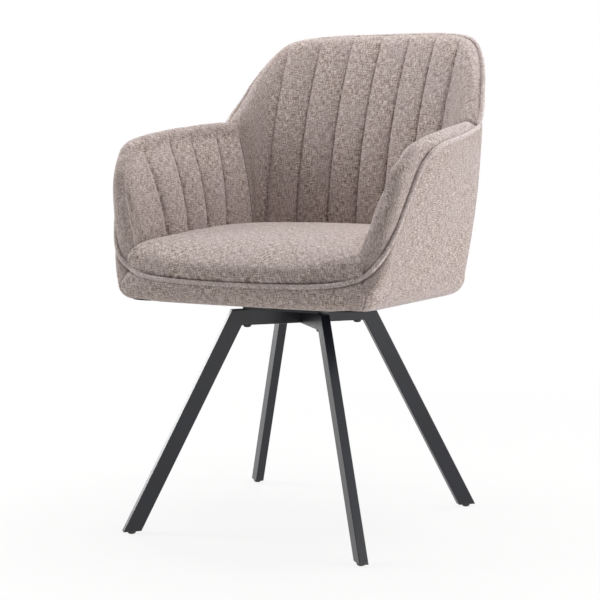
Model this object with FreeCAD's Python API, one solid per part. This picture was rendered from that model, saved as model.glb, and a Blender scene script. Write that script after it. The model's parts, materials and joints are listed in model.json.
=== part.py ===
import os
from math import atan2, copysign, cos, pi, radians, sin, sqrt

import FreeCAD
import Part

V = FreeCAD.Vector

# Swivel armchair: an upholstered tub seat on a steel cross base with four splayed legs.
# Everything is laid out about the swivel axis, front towards -Y, and moved at the end
# so that the origin lies on the floor under the middle of the whole chair.

# Main heights
base_top = 390.0             # top of the flat cross on the legs
swivel_height = 25.0         # from the cross up to the underside of the seat board
shell_bottom = 414.0         # lowest edge of the upholstered shell
seat_line = 485.0            # height where the inner walls start to lean out
seat_top = 533.0             # crown of the seat cushion
arm_height = 715.0           # crest of the arms where they meet the back
back_height = 883.0          # crest of the back
axis_forward = 58.96         # the swivel axis lies this far in front of the chair's middle

# Plan of the shell at its waist
side_half_front = 244.0      # half width at the front corner
side_half_back = 249.0       # half width at the rear corner
front_reach = 240.0          # swivel axis to the front face at a corner
front_bow = 6.0              # how far the middle of the front stands ahead of that
front_corner_radius = 55.0          # front corner radius
back_reach = 262.0           # swivel axis to the middle of the back
back_corner_radius = 90.0           # rear corner radius
back_bow_radius = 430.0      # bow of the back, seen from above
bottom_round = 22.0          # rounding under the shell

# Seat space between the arms
seat_half_front = 213.0      # swivel axis to an arm's inner face, near the front
seat_half_back = 192.0       # the same at the rear corner
seat_back_reach = 211.0      # swivel axis to the back's inner face, at the seat
seat_bow_radius = 390.0      # bow of the back's inner face
back_rake = 163.0            # how far the back's rim lies behind its foot

# Upholstery
front_seam = 450.0           # welt height in the middle of the front
front_lean = 3.0             # how far the front leans in up to the welt
front_swell = 1.0            # and how far it swells
arm_channel_count = 4
wing_count = 5               # stretches of the back outside its outer channels
channel_steps = 4            # stretches between two stations
plain_steps = 3
welt_end_room = 6.0
cord_stretch = 8             # sections lofted at a time along a welt
cover_thickness = 5.0
wadding_gap = 2.7
panel_thickness = 8.0
pad_gap = 0.4
seam_half_gap = 4.4          # room left at a seam for the welt
welt_diameter = 8.0
channel_depth = 7.0
arm_channel_depth = 6.0
panel_drop = 24.0            # frame panels end this far under the seam
front_panel_drop = 9.0
board_thickness = 12.0
board_edge = 9.0             # seat board edge, in from the shell's face, at its top
board_bevel = 15.0           # how much further in it is at its bottom
dust_cover_thickness = 1.0
dust_cover_hem = 26.0
cushion_gap = 0.6
cushion_bulge = 16.0         # how far the cushion's front swells past the front's corners
cushion_tip_out = 13.0       # where its edge meets the arm's tip, from the corner's centre
cushion_tip_ahead = 12.8
cushion_side_back = 4.0      # how far behind that centre its straight side starts
cushion_middle = -25.0       # the crown is drawn in towards this place
cushion_steps = 2
notch_fade = 8.0             # how fast the notch for the arm's tip fades towards the crown

# Crest rounding of the arms: from the crest back to the inner face and out to the band
crest_in = 21.0
crest_down = 20.0
crest_out = 8.0
crest_fall = 5.0
rim_crest_in = 12.0          # the back's crest, in from its seam and up from it
rim_crest_up = 10.0
wall_bow = 10.0              # how far the shell's outside swells between waist and seam

# Base frame: rectangular steel tube
tube_depth = 28.5
tube_width = 16.0
tube_wall = 1.6
tube_round = 1.5             # rounding of the tube's edges, outside
bend_reach = 132.0           # swivel axis to the top outer corner of a leg
foot_reach = 336.0           # swivel axis to where a leg's outer line meets the floor
leg_count = 4
first_leg_angle = 45.0

# Feet
plug_lip = 2.0
plug_depth = 18.0
plug_clearance = 0.15
glide_radius = 7.5
glide_height = 5.0
glide_flat_radius = 4.5
glide_stem_radius = 2.5
glide_stem = 8.0
stem_clearance = 0.05

# Swivel
plate_size = 164.0
plate_thickness = 2.5
plate_corner_radius = 12.0
race_radius = 55.0
race_half_width = 7.0
ball_radius = 4.0
ball_count = 12
ball_clearance = 0.06
race_land = 2.3              # ball centre to the flat of either race
cage_thickness = 2.0
cage_half_width = 6.0
cage_clearance = 0.2
pin_radius = 6.0
pin_flange_radius = 11.0
pin_flange = 2.5
bush_wall = 1.5
bush_lip = 3.0
bush_lip_thickness = 1.2
pin_clearance = 0.05
washer_radius = 11.0
washer_thickness = 1.5
clip_radius = 9.0
clip_thickness = 1.2
clip_groove = 0.8
pin_end = 2.5
board_bore_radius = 16.0

# Fasteners
bolt_reach = 103.0           # swivel axis to a base bolt
bolt_radius = 4.0
bolt_clearance = 0.25
bolt_head_radius = 7.0
bolt_head_height = 4.2
bolt_tip = 1.5
socket_width = 5.0             # across flats
socket_depth = 2.4
nut_height = 6.5
nut_width = 13.0
seat_bolt_spacing = 110.0
seat_bolt_radius = 3.0
seat_bolt_head_radius = 5.5
seat_bolt_head_height = 3.0
seat_socket_width = 4.0
seat_socket_depth = 1.6
tee_flange_radius = 9.5
tee_flange = 1.2
tee_barrel_wall = 1.4
tee_barrel_drop = 9.0
fit_gap = 0.05

overrun = 5.0                # how far every cutting tool stands past what it cuts

# Shares of the sizes above

inner_lean_share = 0.27      # how soon an inner face starts to lean out
shoulder_swell_share = 0.5   # how much of a channel's swell is left at the crest
band_share = 0.07            # bow of the band between crest and welt
tip_inner_share = 0.37
arm_bow_share = 0.4
tip_bow_share = 0.15
rim_fullness_share = 0.75
arm_taper_start_share = 0.5
front_rise_share = 0.35
head_round_share = 0.75

# Front, from its middle to its corner: places along the straight; then turn in degrees,
# how often the lean is drawn in, and share of the welt's rise
front_along_shares = (0.0, 0.4, 0.75, 1.0)
front_turn_shares = ((-73.0, 2.0, 0.5), (-58.0, 2.7, 0.75))
# Tip of the arm. Each row: turn about the front corner in degrees; then seam out, seam
# up, crest out and crest up, as shares of the arm's width and rise; then its fullness.
tip_shares = [(-44.0, 0.92, -0.07, 0.46, 0.13, 0.22), (-29.0, 1.26, 0.01, 0.76, 0.25, 0.60),
              (-22.0, 1.33, 0.05, 0.95, 0.31, 0.72), (-17.0, 1.39, 0.10, 1.10, 0.39, 0.85),
              (-8.0, 1.48, 0.18, 1.35, 0.51, 0.95)]
# Length of the arm. Each row: place of the foot and of the top along it; then as above.
arm_shares = [(0.000, 0.000, 1.58, 0.27, 1.60, 0.66), (0.067, 0.067, 1.84, 0.51, 1.75, 0.78),
              (0.131, 0.131, 2.02, 0.70, 1.83, 0.855), (0.239, 0.239, 2.21, 0.826, 1.88, 0.898),
              (0.419, 0.48, 2.19, 0.883, 1.81, 0.948), (0.594, 0.666, 2.04, 0.909, 1.69, 0.974),
              (0.748, 0.893, 1.78, 0.950, 1.50, 1.000)]
# Back from its middle to its side edge. Each row: foot along the half width; turn in
# degrees; seam out and seam up, as shares of the back's rake and rise; then its bow.
back_shares = [(0.0, 90.0, 1.0, 0.975, -0.4), (0.302, 88.9, 1.0, 0.975, -0.4), (0.612, 88.4, 0.988, 0.970, -0.3),
               (0.891, 86.4, 0.968, 0.950, 0.1), (0.927, 81.2, 0.925, 0.925, 0.4), (0.953, 73.0, 0.819, 0.859, 0.8),
               (0.974, 61.3, 0.677, 0.764, 1.1), (0.99, 45.9, 0.55, 0.666, 0.95), (1.0, 15.3, 0.45, 0.558, 0.8)]

# Seat cushion from its foot to its crown. Each row: height; how far the middle of the front
# stands out, as a share of the bulge; the front corner across and along, as shares of the
# corner's radius; and how far the level is drawn in.
cushion_shares = [(0.0, -1.12, 0.02, 0.53, 0.0), (0.17, -0.56, 0.16, 0.56, 0.0), (0.325, 0.45, 0.42, 0.63, 0.0),
                  (0.50, 1.0, 0.55, 0.62, 0.0), (0.67, 0.81, 0.36, 0.53, 0.0), (0.80, 0.19, 0.11, 0.44, 0.01),
                  (0.885, -0.63, 0.02, 0.40, 0.06), (0.95, -1.12, -0.02, 0.38, 0.16),
                  (0.99, -1.25, -0.02, 0.36, 0.36), (1.0, -1.25, -0.02, 0.36, 0.70)]

# Places worked out from the sizes above
board_bottom = base_top + swivel_height
board_top = board_bottom + board_thickness
board_shoulder = shell_bottom + cover_thickness + pad_gap
pad_bottom = board_top + pad_gap
waist = shell_bottom + bottom_round
arm_rise = arm_height - seat_line
back_rise = back_height - seat_line
arm_width = side_half_front - seat_half_front + crest_in
corner_x = side_half_front - front_corner_radius
corner_y = front_reach - front_corner_radius
rear_x = side_half_back - back_corner_radius
bow_centre = back_reach - back_bow_radius
rear_y = bow_centre + sqrt((back_bow_radius - back_corner_radius) ** 2 - rear_x ** 2)
seat_bow_centre = seat_back_reach - seat_bow_radius
rear_corner_reach = seat_bow_centre + sqrt(seat_bow_radius ** 2 - seat_half_back ** 2)
plate_top = board_bottom
plate_bottom = plate_top - plate_thickness
lower_plate_top = base_top + plate_thickness
ball_height = (lower_plate_top + plate_bottom) / 2


def polar(reach, angle, z=0.0):
    """Point at a reach from the swivel axis, angle in degrees from +X."""
    return V(reach * cos(radians(angle)), reach * sin(radians(angle)), z)


def line(a, b):
    return Part.LineSegment(a, b).toShape()


def arc(a, middle, b):
    return Part.Arc(a, middle, b).toShape()


def box(x0, x1, y0, y1, z0, z1):
    return Part.makeBox(x1 - x0, y1 - y0, z1 - z0, V(x0, y0, z0))


def cylinder(radius, z0, z1, x=0.0, y=0.0):
    return Part.makeCylinder(radius, z1 - z0, V(x, y, z0))


def ring(outer, inner, z0, z1, x=0.0, y=0.0):
    return cylinder(outer, z0, z1, x, y).cut(cylinder(inner, z0 - overrun, z1 + overrun, x, y))


def hexagon(flats, z0, z1, x=0.0, y=0.0):
    corner = flats / sqrt(3)
    points = [V(x, y, z0) + polar(corner, 60 * k) for k in range(7)]
    return Part.Face(Part.makePolygon(points)).extrude(V(0, 0, z1 - z0))


def mirrored(shape):
    return shape.mirror(V(0, 0, 0), V(1, 0, 0))


def mix(a, b, share):
    return a + (b - a) * share


# Plan of the shell

def outline_distance(x, y, inset=0.0):
    """How far a plan point lies outside the shell's waist line, moved in by inset."""
    x = abs(x)
    if y < -corner_y:
        if x > corner_x:
            return sqrt((x - corner_x) ** 2 + (y + corner_y) ** 2) - front_corner_radius + inset
        bow = front_bow * (1 - (x / corner_x) ** 2)
        return -y - front_reach - bow + inset
    if y > rear_y:
        if x * (rear_y - bow_centre) > rear_x * (y - bow_centre):
            return sqrt((x - rear_x) ** 2 + (y - rear_y) ** 2) - back_corner_radius + inset
        return sqrt(x ** 2 + (y - bow_centre) ** 2) - back_bow_radius + inset
    share = (y + corner_y) / (rear_y + corner_y)
    return x - mix(side_half_front, side_half_back, share) + inset


def reach_to_outline(x, y, dx, dy):
    """Distance from a plan point along a direction to the waist line."""
    near, far = 0.0, back_bow_radius
    while far - near > fit_gap / 100:
        middle = (near + far) / 2
        if outline_distance(x + dx * middle, y + dy * middle) < 0:
            near = middle
        else:
            far = middle
    return near


def outline_wire(inset, z):
    """The waist line moved in by inset, as one closed wire of lines and arcs."""
    front = front_reach - inset
    bow = front + front_bow
    r = front_corner_radius - inset
    s = back_corner_radius - inset
    turn = atan2(rear_x, rear_y - bow_centre)
    half = (pi / 2 - turn) / 2
    a = V(-corner_x, -front, z)
    b = V(corner_x, -front, z)
    c = V(corner_x + r, -corner_y, z)
    d = V(rear_x + s, rear_y, z)
    e = V(rear_x + s * sin(turn), rear_y + s * cos(turn), z)
    corner_mid = V(corner_x + r * cos(pi / 4), -corner_y - r * sin(pi / 4), z)
    rear_mid = V(rear_x + s * sin(turn + half), rear_y + s * cos(turn + half), z)
    left = [V(-p.x, p.y, z) for p in (c, d, e, corner_mid, rear_mid)]
    edges = [arc(a, V(0, -bow, z), b), arc(b, corner_mid, c), line(c, d), arc(d, rear_mid, e),
             arc(e, V(0, back_reach - inset, z), left[2]), arc(left[2], left[4], left[1]),
             line(left[1], left[0]), arc(left[0], left[3], a)]
    return Part.Wire(edges)


# Stations: upright planes round the shell, each with the profile of its wall
#
# A station starts at a plan point and looks out along a direction. Its profile is
# measured as (out, z). Lean moves the plane along Y as it rises.

class Station:
    def __init__(self, x, y, angle, inner, seam_out, seam_z, crest_out, crest_z, fullness, lean, bow):
        self.values = (x, y, angle, inner, seam_out, seam_z, crest_out, crest_z, fullness, lean, bow)
        self.x = x
        self.y = y
        self.dx = cos(radians(angle))
        self.dy = sin(radians(angle))
        self.inner = inner
        self.seam = (seam_out, seam_z)
        self.crest = (crest_out, crest_z)
        self.fullness = fullness
        self.lean = lean
        self.bow = bow
        self.foot = reach_to_outline(x, y - lean * (seat_line - waist), self.dx, self.dy)

    def at(self, out, z):
        y = self.y + self.lean * (z - seat_line)
        return V(self.x + self.dx * out, y + self.dy * out, z)

    def outer(self, z):
        """Outer face of the wall: a shallow bow from the waist to the seam."""
        share = (z - waist) / (self.seam[1] - waist)
        return mix(self.foot, self.seam[0], share) + 4 * share * (1 - share) * self.bow

    def flipped(self):
        """The same station on the other side of the chair."""
        x, y, angle, *rest = self.values
        return Station(-x, y, copysign(180.0, angle) - angle, *rest)


def cover_profile(s):
    """Outer cover: turned under at the bottom, ends just under the welt."""
    top = s.seam[1] - seam_half_gap
    mid = mix(waist, top, 0.5)
    turn = s.foot - bottom_round
    inner_round = bottom_round - cover_thickness
    diagonal = sqrt(0.5)
    p = [s.at(turn, shell_bottom),
         s.at(turn + bottom_round * diagonal, waist - bottom_round * diagonal),
         s.at(s.foot, waist), s.at(s.outer(mid), mid), s.at(s.outer(top), top)]
    q = [s.at(s.outer(top) - cover_thickness, top), s.at(s.outer(mid) - cover_thickness, mid),
         s.at(s.foot - cover_thickness, waist),
         s.at(turn + inner_round * diagonal, waist - inner_round * diagonal),
         s.at(turn, shell_bottom + cover_thickness)]
    return Part.Wire([arc(p[0], p[1], p[2]), arc(p[2], p[3], p[4]), line(p[4], q[0]),
                      arc(q[0], q[1], q[2]), arc(q[2], q[3], q[4]), line(q[4], p[0])])


def panel_profile(s, drop):
    """Frame panel behind the cover, standing on the seat board."""
    top = s.seam[1] - drop
    mid = mix(pad_bottom, top, 0.5)
    near = cover_thickness + wadding_gap
    far = near + panel_thickness
    a = [s.at(s.foot - near, pad_bottom), s.at(s.outer(mid) - near, mid), s.at(s.outer(top) - near, top)]
    b = [s.at(s.outer(top) - far, top), s.at(s.outer(mid) - far, mid), s.at(s.foot - far, pad_bottom)]
    return Part.Wire([arc(a[0], a[1], a[2]), line(a[2], b[0]), arc(b[0], b[1], b[2]), line(b[2], a[0])])


def pad_profile(s, swell):
    """Inner pad: seat side, crest, band down to the welt, then back along the frame panel."""
    seam_out, seam_z = s.seam
    crest_r, crest_z = s.crest
    shoulder_z = crest_z - crest_down * s.fullness
    shoulder_r = crest_r - crest_in * s.fullness
    mid_z = mix(seat_line, shoulder_z, 0.5)
    mid_out = mix(s.inner, shoulder_r, inner_lean_share) - swell
    brow = (crest_r + crest_out * s.fullness, crest_z - crest_fall * s.fullness)
    lip = (seam_out - welt_diameter / 2, seam_z + seam_half_gap)
    band = (mix(brow[0], lip[0], 0.5) + (brow[1] - lip[1]) * band_share,
            mix(brow[1], lip[1], 0.5) + (lip[0] - brow[0]) * band_share)
    throat = seam_out - welt_diameter - pad_gap
    panel_top = seam_z - panel_drop + pad_gap
    near = cover_thickness + wadding_gap
    far = near + panel_thickness + pad_gap
    mid_back = mix(pad_bottom, panel_top, 0.5)
    points = [(s.inner, pad_bottom), (s.inner, seat_line), (mid_out, mid_z),
              (shoulder_r - swell * shoulder_swell_share, shoulder_z), (crest_r, crest_z), brow, band, lip,
              (throat, lip[1]), (throat, seam_z - seam_half_gap), (s.outer(panel_top) - near, panel_top),
              (s.outer(panel_top) - far, panel_top), (s.outer(mid_back) - far, mid_back),
              (s.foot - far, pad_bottom)]
    p = [s.at(*q) for q in points]
    return Part.Wire([line(p[0], p[1]), arc(p[1], p[2], p[3]), arc(p[3], p[4], p[5]), arc(p[5], p[6], p[7]),
                      line(p[7], p[8]), line(p[8], p[9]), line(p[9], p[10]), line(p[10], p[11]),
                      arc(p[11], p[12], p[13]), line(p[13], p[0])])


def filled(stations, depths):
    """The run with more stations between, on smooth curves, each with its channel's swell."""
    last = len(stations) - 1
    places = [0.0]
    for a, b in zip(stations, stations[1:]):
        places.append(places[-1] + (b.at(*b.seam) - a.at(*a.seam)).Length)
    slopes = []
    for k in range(last + 1):
        low, high = max(k - 1, 0), min(k + 1, last)
        apart = places[high] - places[low]
        slopes.append([(b - a) / apart for a, b in zip(stations[low].values, stations[high].values)])
    run = []
    for k in range(last):
        width = places[k + 1] - places[k]
        ends = zip(stations[k].values, stations[k + 1].values, slopes[k], slopes[k + 1])
        ends = [(a, b, m * width, n * width) for a, b, m, n in ends]
        steps = channel_steps if depths[k] else plain_steps
        for i in range(steps):
            t = i / steps
            s = Station(*[hermite(t, *end) for end in ends])
            run.append((s, depths[k] * 4 * t * (1 - t)))
    return run + [(stations[last], 0.0)]


def hermite(t, a, b, m, n):
    """Smooth curve from a to b, starting with slope m and ending with slope n."""
    return ((2 * t - 3) * t * t * (a - b) + a) + ((t - 2) * t + 1) * t * m + (t - 1) * t * t * n


def tip_station(angle, out, up, crest, height, fullness):
    inner = mix(seat_half_front - corner_x, arm_width * tip_inner_share, angle / tip_shares[0][0])
    return Station(corner_x, -corner_y, angle, inner, out * arm_width, seat_line + up * arm_rise,
                   crest * arm_width, seat_line + height * arm_rise, fullness, 0.0, wall_bow * tip_bow_share)


def arm_station(foot, top, out, up, crest, height):
    y = mix(-corner_y, rear_corner_reach, foot)
    lean = (mix(-corner_y, rear_corner_reach, top) - y) / arm_rise
    taper = max(0.0, (foot - arm_taper_start_share) / (1 - arm_taper_start_share))
    inner = mix(seat_half_front, seat_half_back, taper) - corner_x
    return Station(corner_x, y, 0.0, inner, out * arm_width, seat_line + up * arm_rise,
                   crest * arm_width, seat_line + height * arm_rise, 1.0, lean, wall_bow * arm_bow_share)


def back_station(along, angle, out, up, bow):
    x = along * seat_half_back
    y = seat_bow_centre + sqrt(seat_bow_radius ** 2 - x ** 2)
    seam_out = out * back_rake
    seam_z = seat_line + up * back_rise
    return Station(x, y, angle, 0.0, seam_out, seam_z, seam_out - rim_crest_in, seam_z + rim_crest_up,
                   rim_fullness_share, 0.0, bow * wall_bow)


def front_station(x, turn, out, rise):
    z = mix(front_seam, tips[0].seam[1], rise)
    return Station(x, -corner_y, turn, 0.0, out, z, out, z, 0.0, 0.0, front_swell)


def half_front():
    """Stations from the middle of the front to the seam at the arm's tip."""
    rows = []
    for along in front_along_shares:
        bow = front_bow * (1 - along ** 2)
        rows.append(front_station(along * corner_x, -90.0, front_corner_radius + bow - front_lean,
                                  front_rise_share * along ** 2))
    for turn, lean, rise in front_turn_shares:
        rows.append(front_station(corner_x, turn, front_corner_radius - front_lean * lean, rise))
    return rows + tips[:1]


def across(half):
    """A whole run across the chair, from the right half of it that starts in the middle."""
    return [s.flipped() for s in half[:0:-1]] + half


tips = [tip_station(*row) for row in tip_shares]
arms = [arm_station(*row) for row in arm_shares]
backs = [back_station(*row) for row in back_shares]
side = tips + arms + backs[-1:]
channel_count = len(back_shares) - wing_count - 1
side_depths = [0.0] * (len(side) - 1 - arm_channel_count) + [arm_channel_depth] * arm_channel_count
back_depths = [channel_depth] * channel_count + [0.0] * wing_count
side_run = filled(side, side_depths)
back_run = filled(across(backs), back_depths[::-1] + back_depths)
front_run = filled(across(half_front()), [0.0] * (2 * len(front_along_shares + front_turn_shares)))


# Upholstered shell

def pad(run):
    return Part.makeLoft([pad_profile(s, swell) for s, swell in run], True, True)


def cover(run):
    return Part.makeLoft([cover_profile(s) for s, swell in run], True, True)


def panel(run, drop):
    return Part.makeLoft([panel_profile(s, drop) for s, swell in run], True, True)


def half_cord(points, radius):
    """Round cord that starts in the chair's middle plane, lofted in short stretches."""
    row = [V(-points[1].x, points[1].y, points[1].z)] + points
    wires = []
    for k in range(1, len(row)):
        along = (row[min(k + 1, len(row) - 1)] - row[k - 1]).normalize()
        side = along.cross(V(0, 0, 1)).normalize()
        up = side.cross(along)
        rim = [row[k] + side * (radius * cos(turn)) + up * (radius * sin(turn))
               for turn in [pi * j / 3 for j in range(6)]]
        wires.append(Part.Wire([arc(rim[0], rim[1], rim[2]), arc(rim[2], rim[3], rim[4]),
                                arc(rim[4], rim[5], rim[0])]))
    lofts = [Part.makeLoft(wires[k:k + cord_stretch + 1], True, True)
             for k in range(0, len(wires) - 1, cord_stretch)]
    return lofts[0].multiFuse(lofts[1:])


def welt_point(s):
    return s.at(s.seam[0] - welt_diameter / 2, s.seam[1])


def both_ways(points):
    """A welt across the chair, from its right half, which stops short of the notch."""
    end = points[-1] + (points[-2] - points[-1]).normalize() * welt_end_room
    half = half_cord(points[:-1] + [end], welt_diameter / 2)
    return half.fuse(mirrored(half)).removeSplitter()


def seat_welt():
    """Welt round the seat's front and over both arms, from notch to notch."""
    front_half = front_run[len(front_run) // 2:]
    return both_ways([welt_point(s) for s, swell in front_half + side_run[1:]])


def rim_welt():
    """Welt round the back's rim, from notch to notch."""
    return both_ways([welt_point(s) for s, swell in back_run[len(back_run) // 2:]])


# Seat cushion

def cushion_level(up, reach, out, along, drawn):
    """Plan of the cushion at one height, drawn in towards the middle of the seat."""
    z = mix(pad_bottom, seat_top, up)

    def place(x, y):
        return V(x * (1 - drawn), mix(y, cushion_middle, drawn), z)
    half = seat_half_front - cushion_gap
    rear_half = seat_half_back - cushion_gap
    rear = seat_bow_centre + sqrt(seat_bow_radius ** 2 - seat_half_back ** 2) - cushion_gap
    corner = V(corner_x + out * front_corner_radius, -corner_y - along * front_corner_radius, z)
    side_start = V(half, cushion_side_back - corner_y, z)
    notch = V(corner_x + cushion_tip_out, -corner_y - cushion_tip_ahead, z)
    notch += ((corner + side_start) / 2 - notch) * min(1.0, drawn * notch_fade)
    right = [place(corner.x, corner.y), place(notch.x, notch.y), place(half, side_start.y),
             place(rear_half, rear)]
    left = [V(-p.x, p.y, z) for p in right]
    edges = [arc(left[0], place(0, -front_reach - reach * cushion_bulge), right[0])]
    edges += [line(p, q) for p, q in zip(right, right[1:])]
    edges.append(arc(right[3], place(0, seat_back_reach - cushion_gap), left[3]))
    edges += [line(p, q) for p, q in zip(left[::-1], left[-2::-1])]
    return Part.Wire(edges)


def seat_cushion():
    last = len(cushion_shares) - 1
    levels = []
    for k in range(last):
        rows = [cushion_shares[j] for j in (max(k - 1, 0), k, k + 1, min(k + 2, last))]
        for i in range(cushion_steps):
            t = i / cushion_steps
            levels.append([hermite(t, b, c, (c - a) / 2, (d - b) / 2) for a, b, c, d in zip(*rows)])
    levels.append(cushion_shares[last])
    return Part.makeLoft([cushion_level(*row) for row in levels], True, True)


# Seat board and what lies under it

def plate_square(size, z0, z1):
    half = size / 2
    plate = box(-half, half, -half, half, z0, z1)
    upright = [e for e in plate.Edges if abs(e.Vertexes[0].Z - e.Vertexes[1].Z) > plate_thickness / 2]
    return plate.makeFillet(plate_corner_radius, upright)


def at_seat_bolts(shape):
    half = seat_bolt_spacing / 2
    return [shape.translated(V(x, y, 0)) for x in (-half, half) for y in (-half, half)]


def seat_board():
    rebate = board_edge + board_bevel
    board = Part.makeLoft([outline_wire(rebate, board_bottom), outline_wire(rebate, board_shoulder),
                           outline_wire(board_edge, board_top)], True, True)
    holes = [cylinder(board_bore_radius, board_bottom - overrun, board_top + overrun)]
    barrel = seat_bolt_radius + tee_barrel_wall + fit_gap
    holes += at_seat_bolts(cylinder(barrel, board_bottom - overrun, board_top + overrun))
    holes += at_seat_bolts(cylinder(tee_flange_radius + fit_gap, board_top - tee_flange - fit_gap,
                                    board_top + overrun))
    return board.cut(holes)


def dust_cover():
    sheet = Part.Face(outline_wire(dust_cover_hem, board_bottom - dust_cover_thickness))
    sheet = sheet.extrude(V(0, 0, dust_cover_thickness))
    opening = plate_size / 2 + pad_gap
    return sheet.cut(box(-opening, opening, -opening, opening, board_bottom - overrun, board_bottom + overrun))


def tee_nuts():
    outer = seat_bolt_radius + tee_barrel_wall
    nut = cylinder(tee_flange_radius, board_top - tee_flange, board_top)
    nut = nut.fuse(cylinder(outer, board_top - tee_barrel_drop, board_top - tee_flange))
    nut = nut.cut(cylinder(seat_bolt_radius + fit_gap, board_bottom, board_top + overrun))
    return at_seat_bolts(nut.removeSplitter())


def seat_bolts():
    head_top = plate_bottom
    head = cylinder(seat_bolt_head_radius, head_top - seat_bolt_head_height, head_top)
    head = head.makeFillet(seat_bolt_head_height / 2, [lowest_edge(head)])
    shank = cylinder(seat_bolt_radius, head_top, board_top - tee_flange)
    low = head_top - seat_bolt_head_height
    socket = hexagon(seat_socket_width, low - overrun, low + seat_socket_depth)
    return at_seat_bolts(head.fuse(shank).removeSplitter().cut(socket))


def lowest_edge(shape):
    return min(shape.Edges, key=lambda e: e.CenterOfMass.z)


# Swivel: two pressed plates, each with a grooved race, and a caged ring of balls

def groove(z):
    return Part.makeTorus(race_radius, ball_radius + ball_clearance, V(0, 0, z))


def upper_plate():
    plate = plate_square(plate_size, plate_bottom, plate_top)
    holes = at_seat_bolts(cylinder(seat_bolt_radius + bolt_clearance, plate_bottom - overrun, plate_top + overrun))
    holes.append(cylinder(pin_radius + bush_wall + fit_gap, plate_bottom - overrun, plate_top + overrun))
    return plate.cut(holes)


def race(z0, z1):
    return ring(race_radius + race_half_width, race_radius - race_half_width, z0, z1).cut(groove(ball_height))


def bearing_balls():
    return [Part.makeSphere(ball_radius, polar(race_radius, 360.0 * k / ball_count, ball_height))
            for k in range(ball_count)]


def ball_cage():
    cage = ring(race_radius + cage_half_width, race_radius - cage_half_width,
                ball_height - cage_thickness / 2, ball_height + cage_thickness / 2)
    pockets = []
    for k in range(ball_count):
        p = polar(race_radius, 360.0 * k / ball_count)
        pockets.append(cylinder(ball_radius + cage_clearance, ball_height - overrun, ball_height + overrun, p.x, p.y))
    return cage.cut(pockets)


def lower_plate():
    plate = plate_square(plate_size, base_top, lower_plate_top)
    holes = []
    for k in range(leg_count):
        p = polar(bolt_reach, first_leg_angle + 360.0 * k / leg_count)
        holes.append(cylinder(bolt_radius + bolt_clearance, base_top - overrun, lower_plate_top + overrun, p.x, p.y))
    return plate.cut(holes)


bush_top = plate_top + bush_lip_thickness
washer_bottom = bush_top + fit_gap
washer_top = washer_bottom + washer_thickness
clip_bottom = washer_top + fit_gap
clip_top = clip_bottom + clip_thickness
pin_top = clip_top + pin_end


def pivot_pin():
    pin = cylinder(pin_radius, lower_plate_top, pin_top)
    pin = pin.fuse(cylinder(pin_flange_radius, lower_plate_top, lower_plate_top + pin_flange)).removeSplitter()
    return pin.cut(ring(pin_radius + overrun, pin_radius - clip_groove, clip_bottom - fit_gap, clip_top + fit_gap))


def pivot_bush():
    bore = pin_radius + pin_clearance
    outer = pin_radius + bush_wall
    sleeve = ring(outer, bore, plate_bottom, bush_top)
    return sleeve.fuse(ring(outer + bush_lip, bore, plate_top, bush_top)).removeSplitter()


def pin_washer():
    return ring(washer_radius, pin_radius + pin_clearance, washer_bottom, washer_top)


def retaining_clip():
    clip = ring(clip_radius, pin_radius - clip_groove + fit_gap, clip_bottom, clip_top)
    slot = pin_radius - clip_groove
    return clip.cut(box(-slot, slot, -clip_radius - overrun, 0, clip_bottom - overrun, clip_top + overrun))


# Base: two crossed tubes with mitred, splayed legs

slope = (foot_reach - bend_reach) / base_top


def leg_line(z, inset):
    """Reach of a leg's outer face at height z, moved in square to the face."""
    return foot_reach - slope * z - inset * sqrt(1 + slope ** 2)


def radial_prism(points, half_width):
    """A flat outline (reach, z) about the +X direction, given a width."""
    loop = [V(r, -half_width, z) for r, z in points]
    return Part.Face(Part.makePolygon(loop + loop[:1])).extrude(V(0, 2 * half_width, 0))


def rounded_tube(prism, radius):
    """The prism with the four edges along it rounded, as drawn tube has them."""
    by_length = sorted(prism.Edges, key=lambda e: -e.Length)
    return prism.makeFillet(radius, by_length[:4])


def leg_solid(inset, low):
    """A leg from its level cut end up to the mitre."""
    top = base_top - inset
    under = base_top - tube_depth + inset
    points = [(leg_line(low, inset), low), (leg_line(top, inset), top),
              (leg_line(under, tube_depth - inset), under), (leg_line(low, tube_depth - inset), low)]
    return radial_prism(points, tube_width / 2 - inset)


leg_bottom = glide_height + plug_lip


def leg():
    outside = rounded_tube(leg_solid(0.0, leg_bottom), tube_round)
    return outside.cut(leg_solid(tube_wall, leg_bottom - overrun))


def bar_profile(inset, start):
    """Half of a cross tube, from start out to the mitre."""
    top = base_top - inset
    under = base_top - tube_depth + inset
    out_top = leg_line(top, inset)
    out_under = leg_line(under, tube_depth - inset)
    return radial_prism([(start, top), (out_top, top), (out_under, under), (start, under)], tube_width / 2 - inset)


def bolt_hole(radius):
    return cylinder(radius, base_top - tube_depth - overrun, base_top + overrun, bolt_reach, 0)


def half_bar(start):
    tube = rounded_tube(bar_profile(0.0, start), tube_round).cut(bar_profile(tube_wall, start - overrun))
    return tube.cut(bolt_hole(bolt_radius + bolt_clearance))


def turned(shape, angle):
    return shape.rotated(V(0, 0, 0), V(0, 0, 1), angle)


def cross_bar():
    half = half_bar(0.0)
    return half.fuse(turned(half, 180)).removeSplitter()


def base_bolt():
    under = base_top - tube_depth
    head = cylinder(bolt_head_radius, under - bolt_head_height, under, bolt_reach, 0)
    head = head.makeFillet(bolt_head_height * head_round_share, [lowest_edge(head)])
    shank = cylinder(bolt_radius, under, lower_plate_top + nut_height + bolt_tip, bolt_reach, 0)
    low = under - bolt_head_height
    socket = hexagon(socket_width, low - overrun, low + socket_depth, bolt_reach, 0)
    return head.fuse(shank).removeSplitter().cut(socket)


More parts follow.
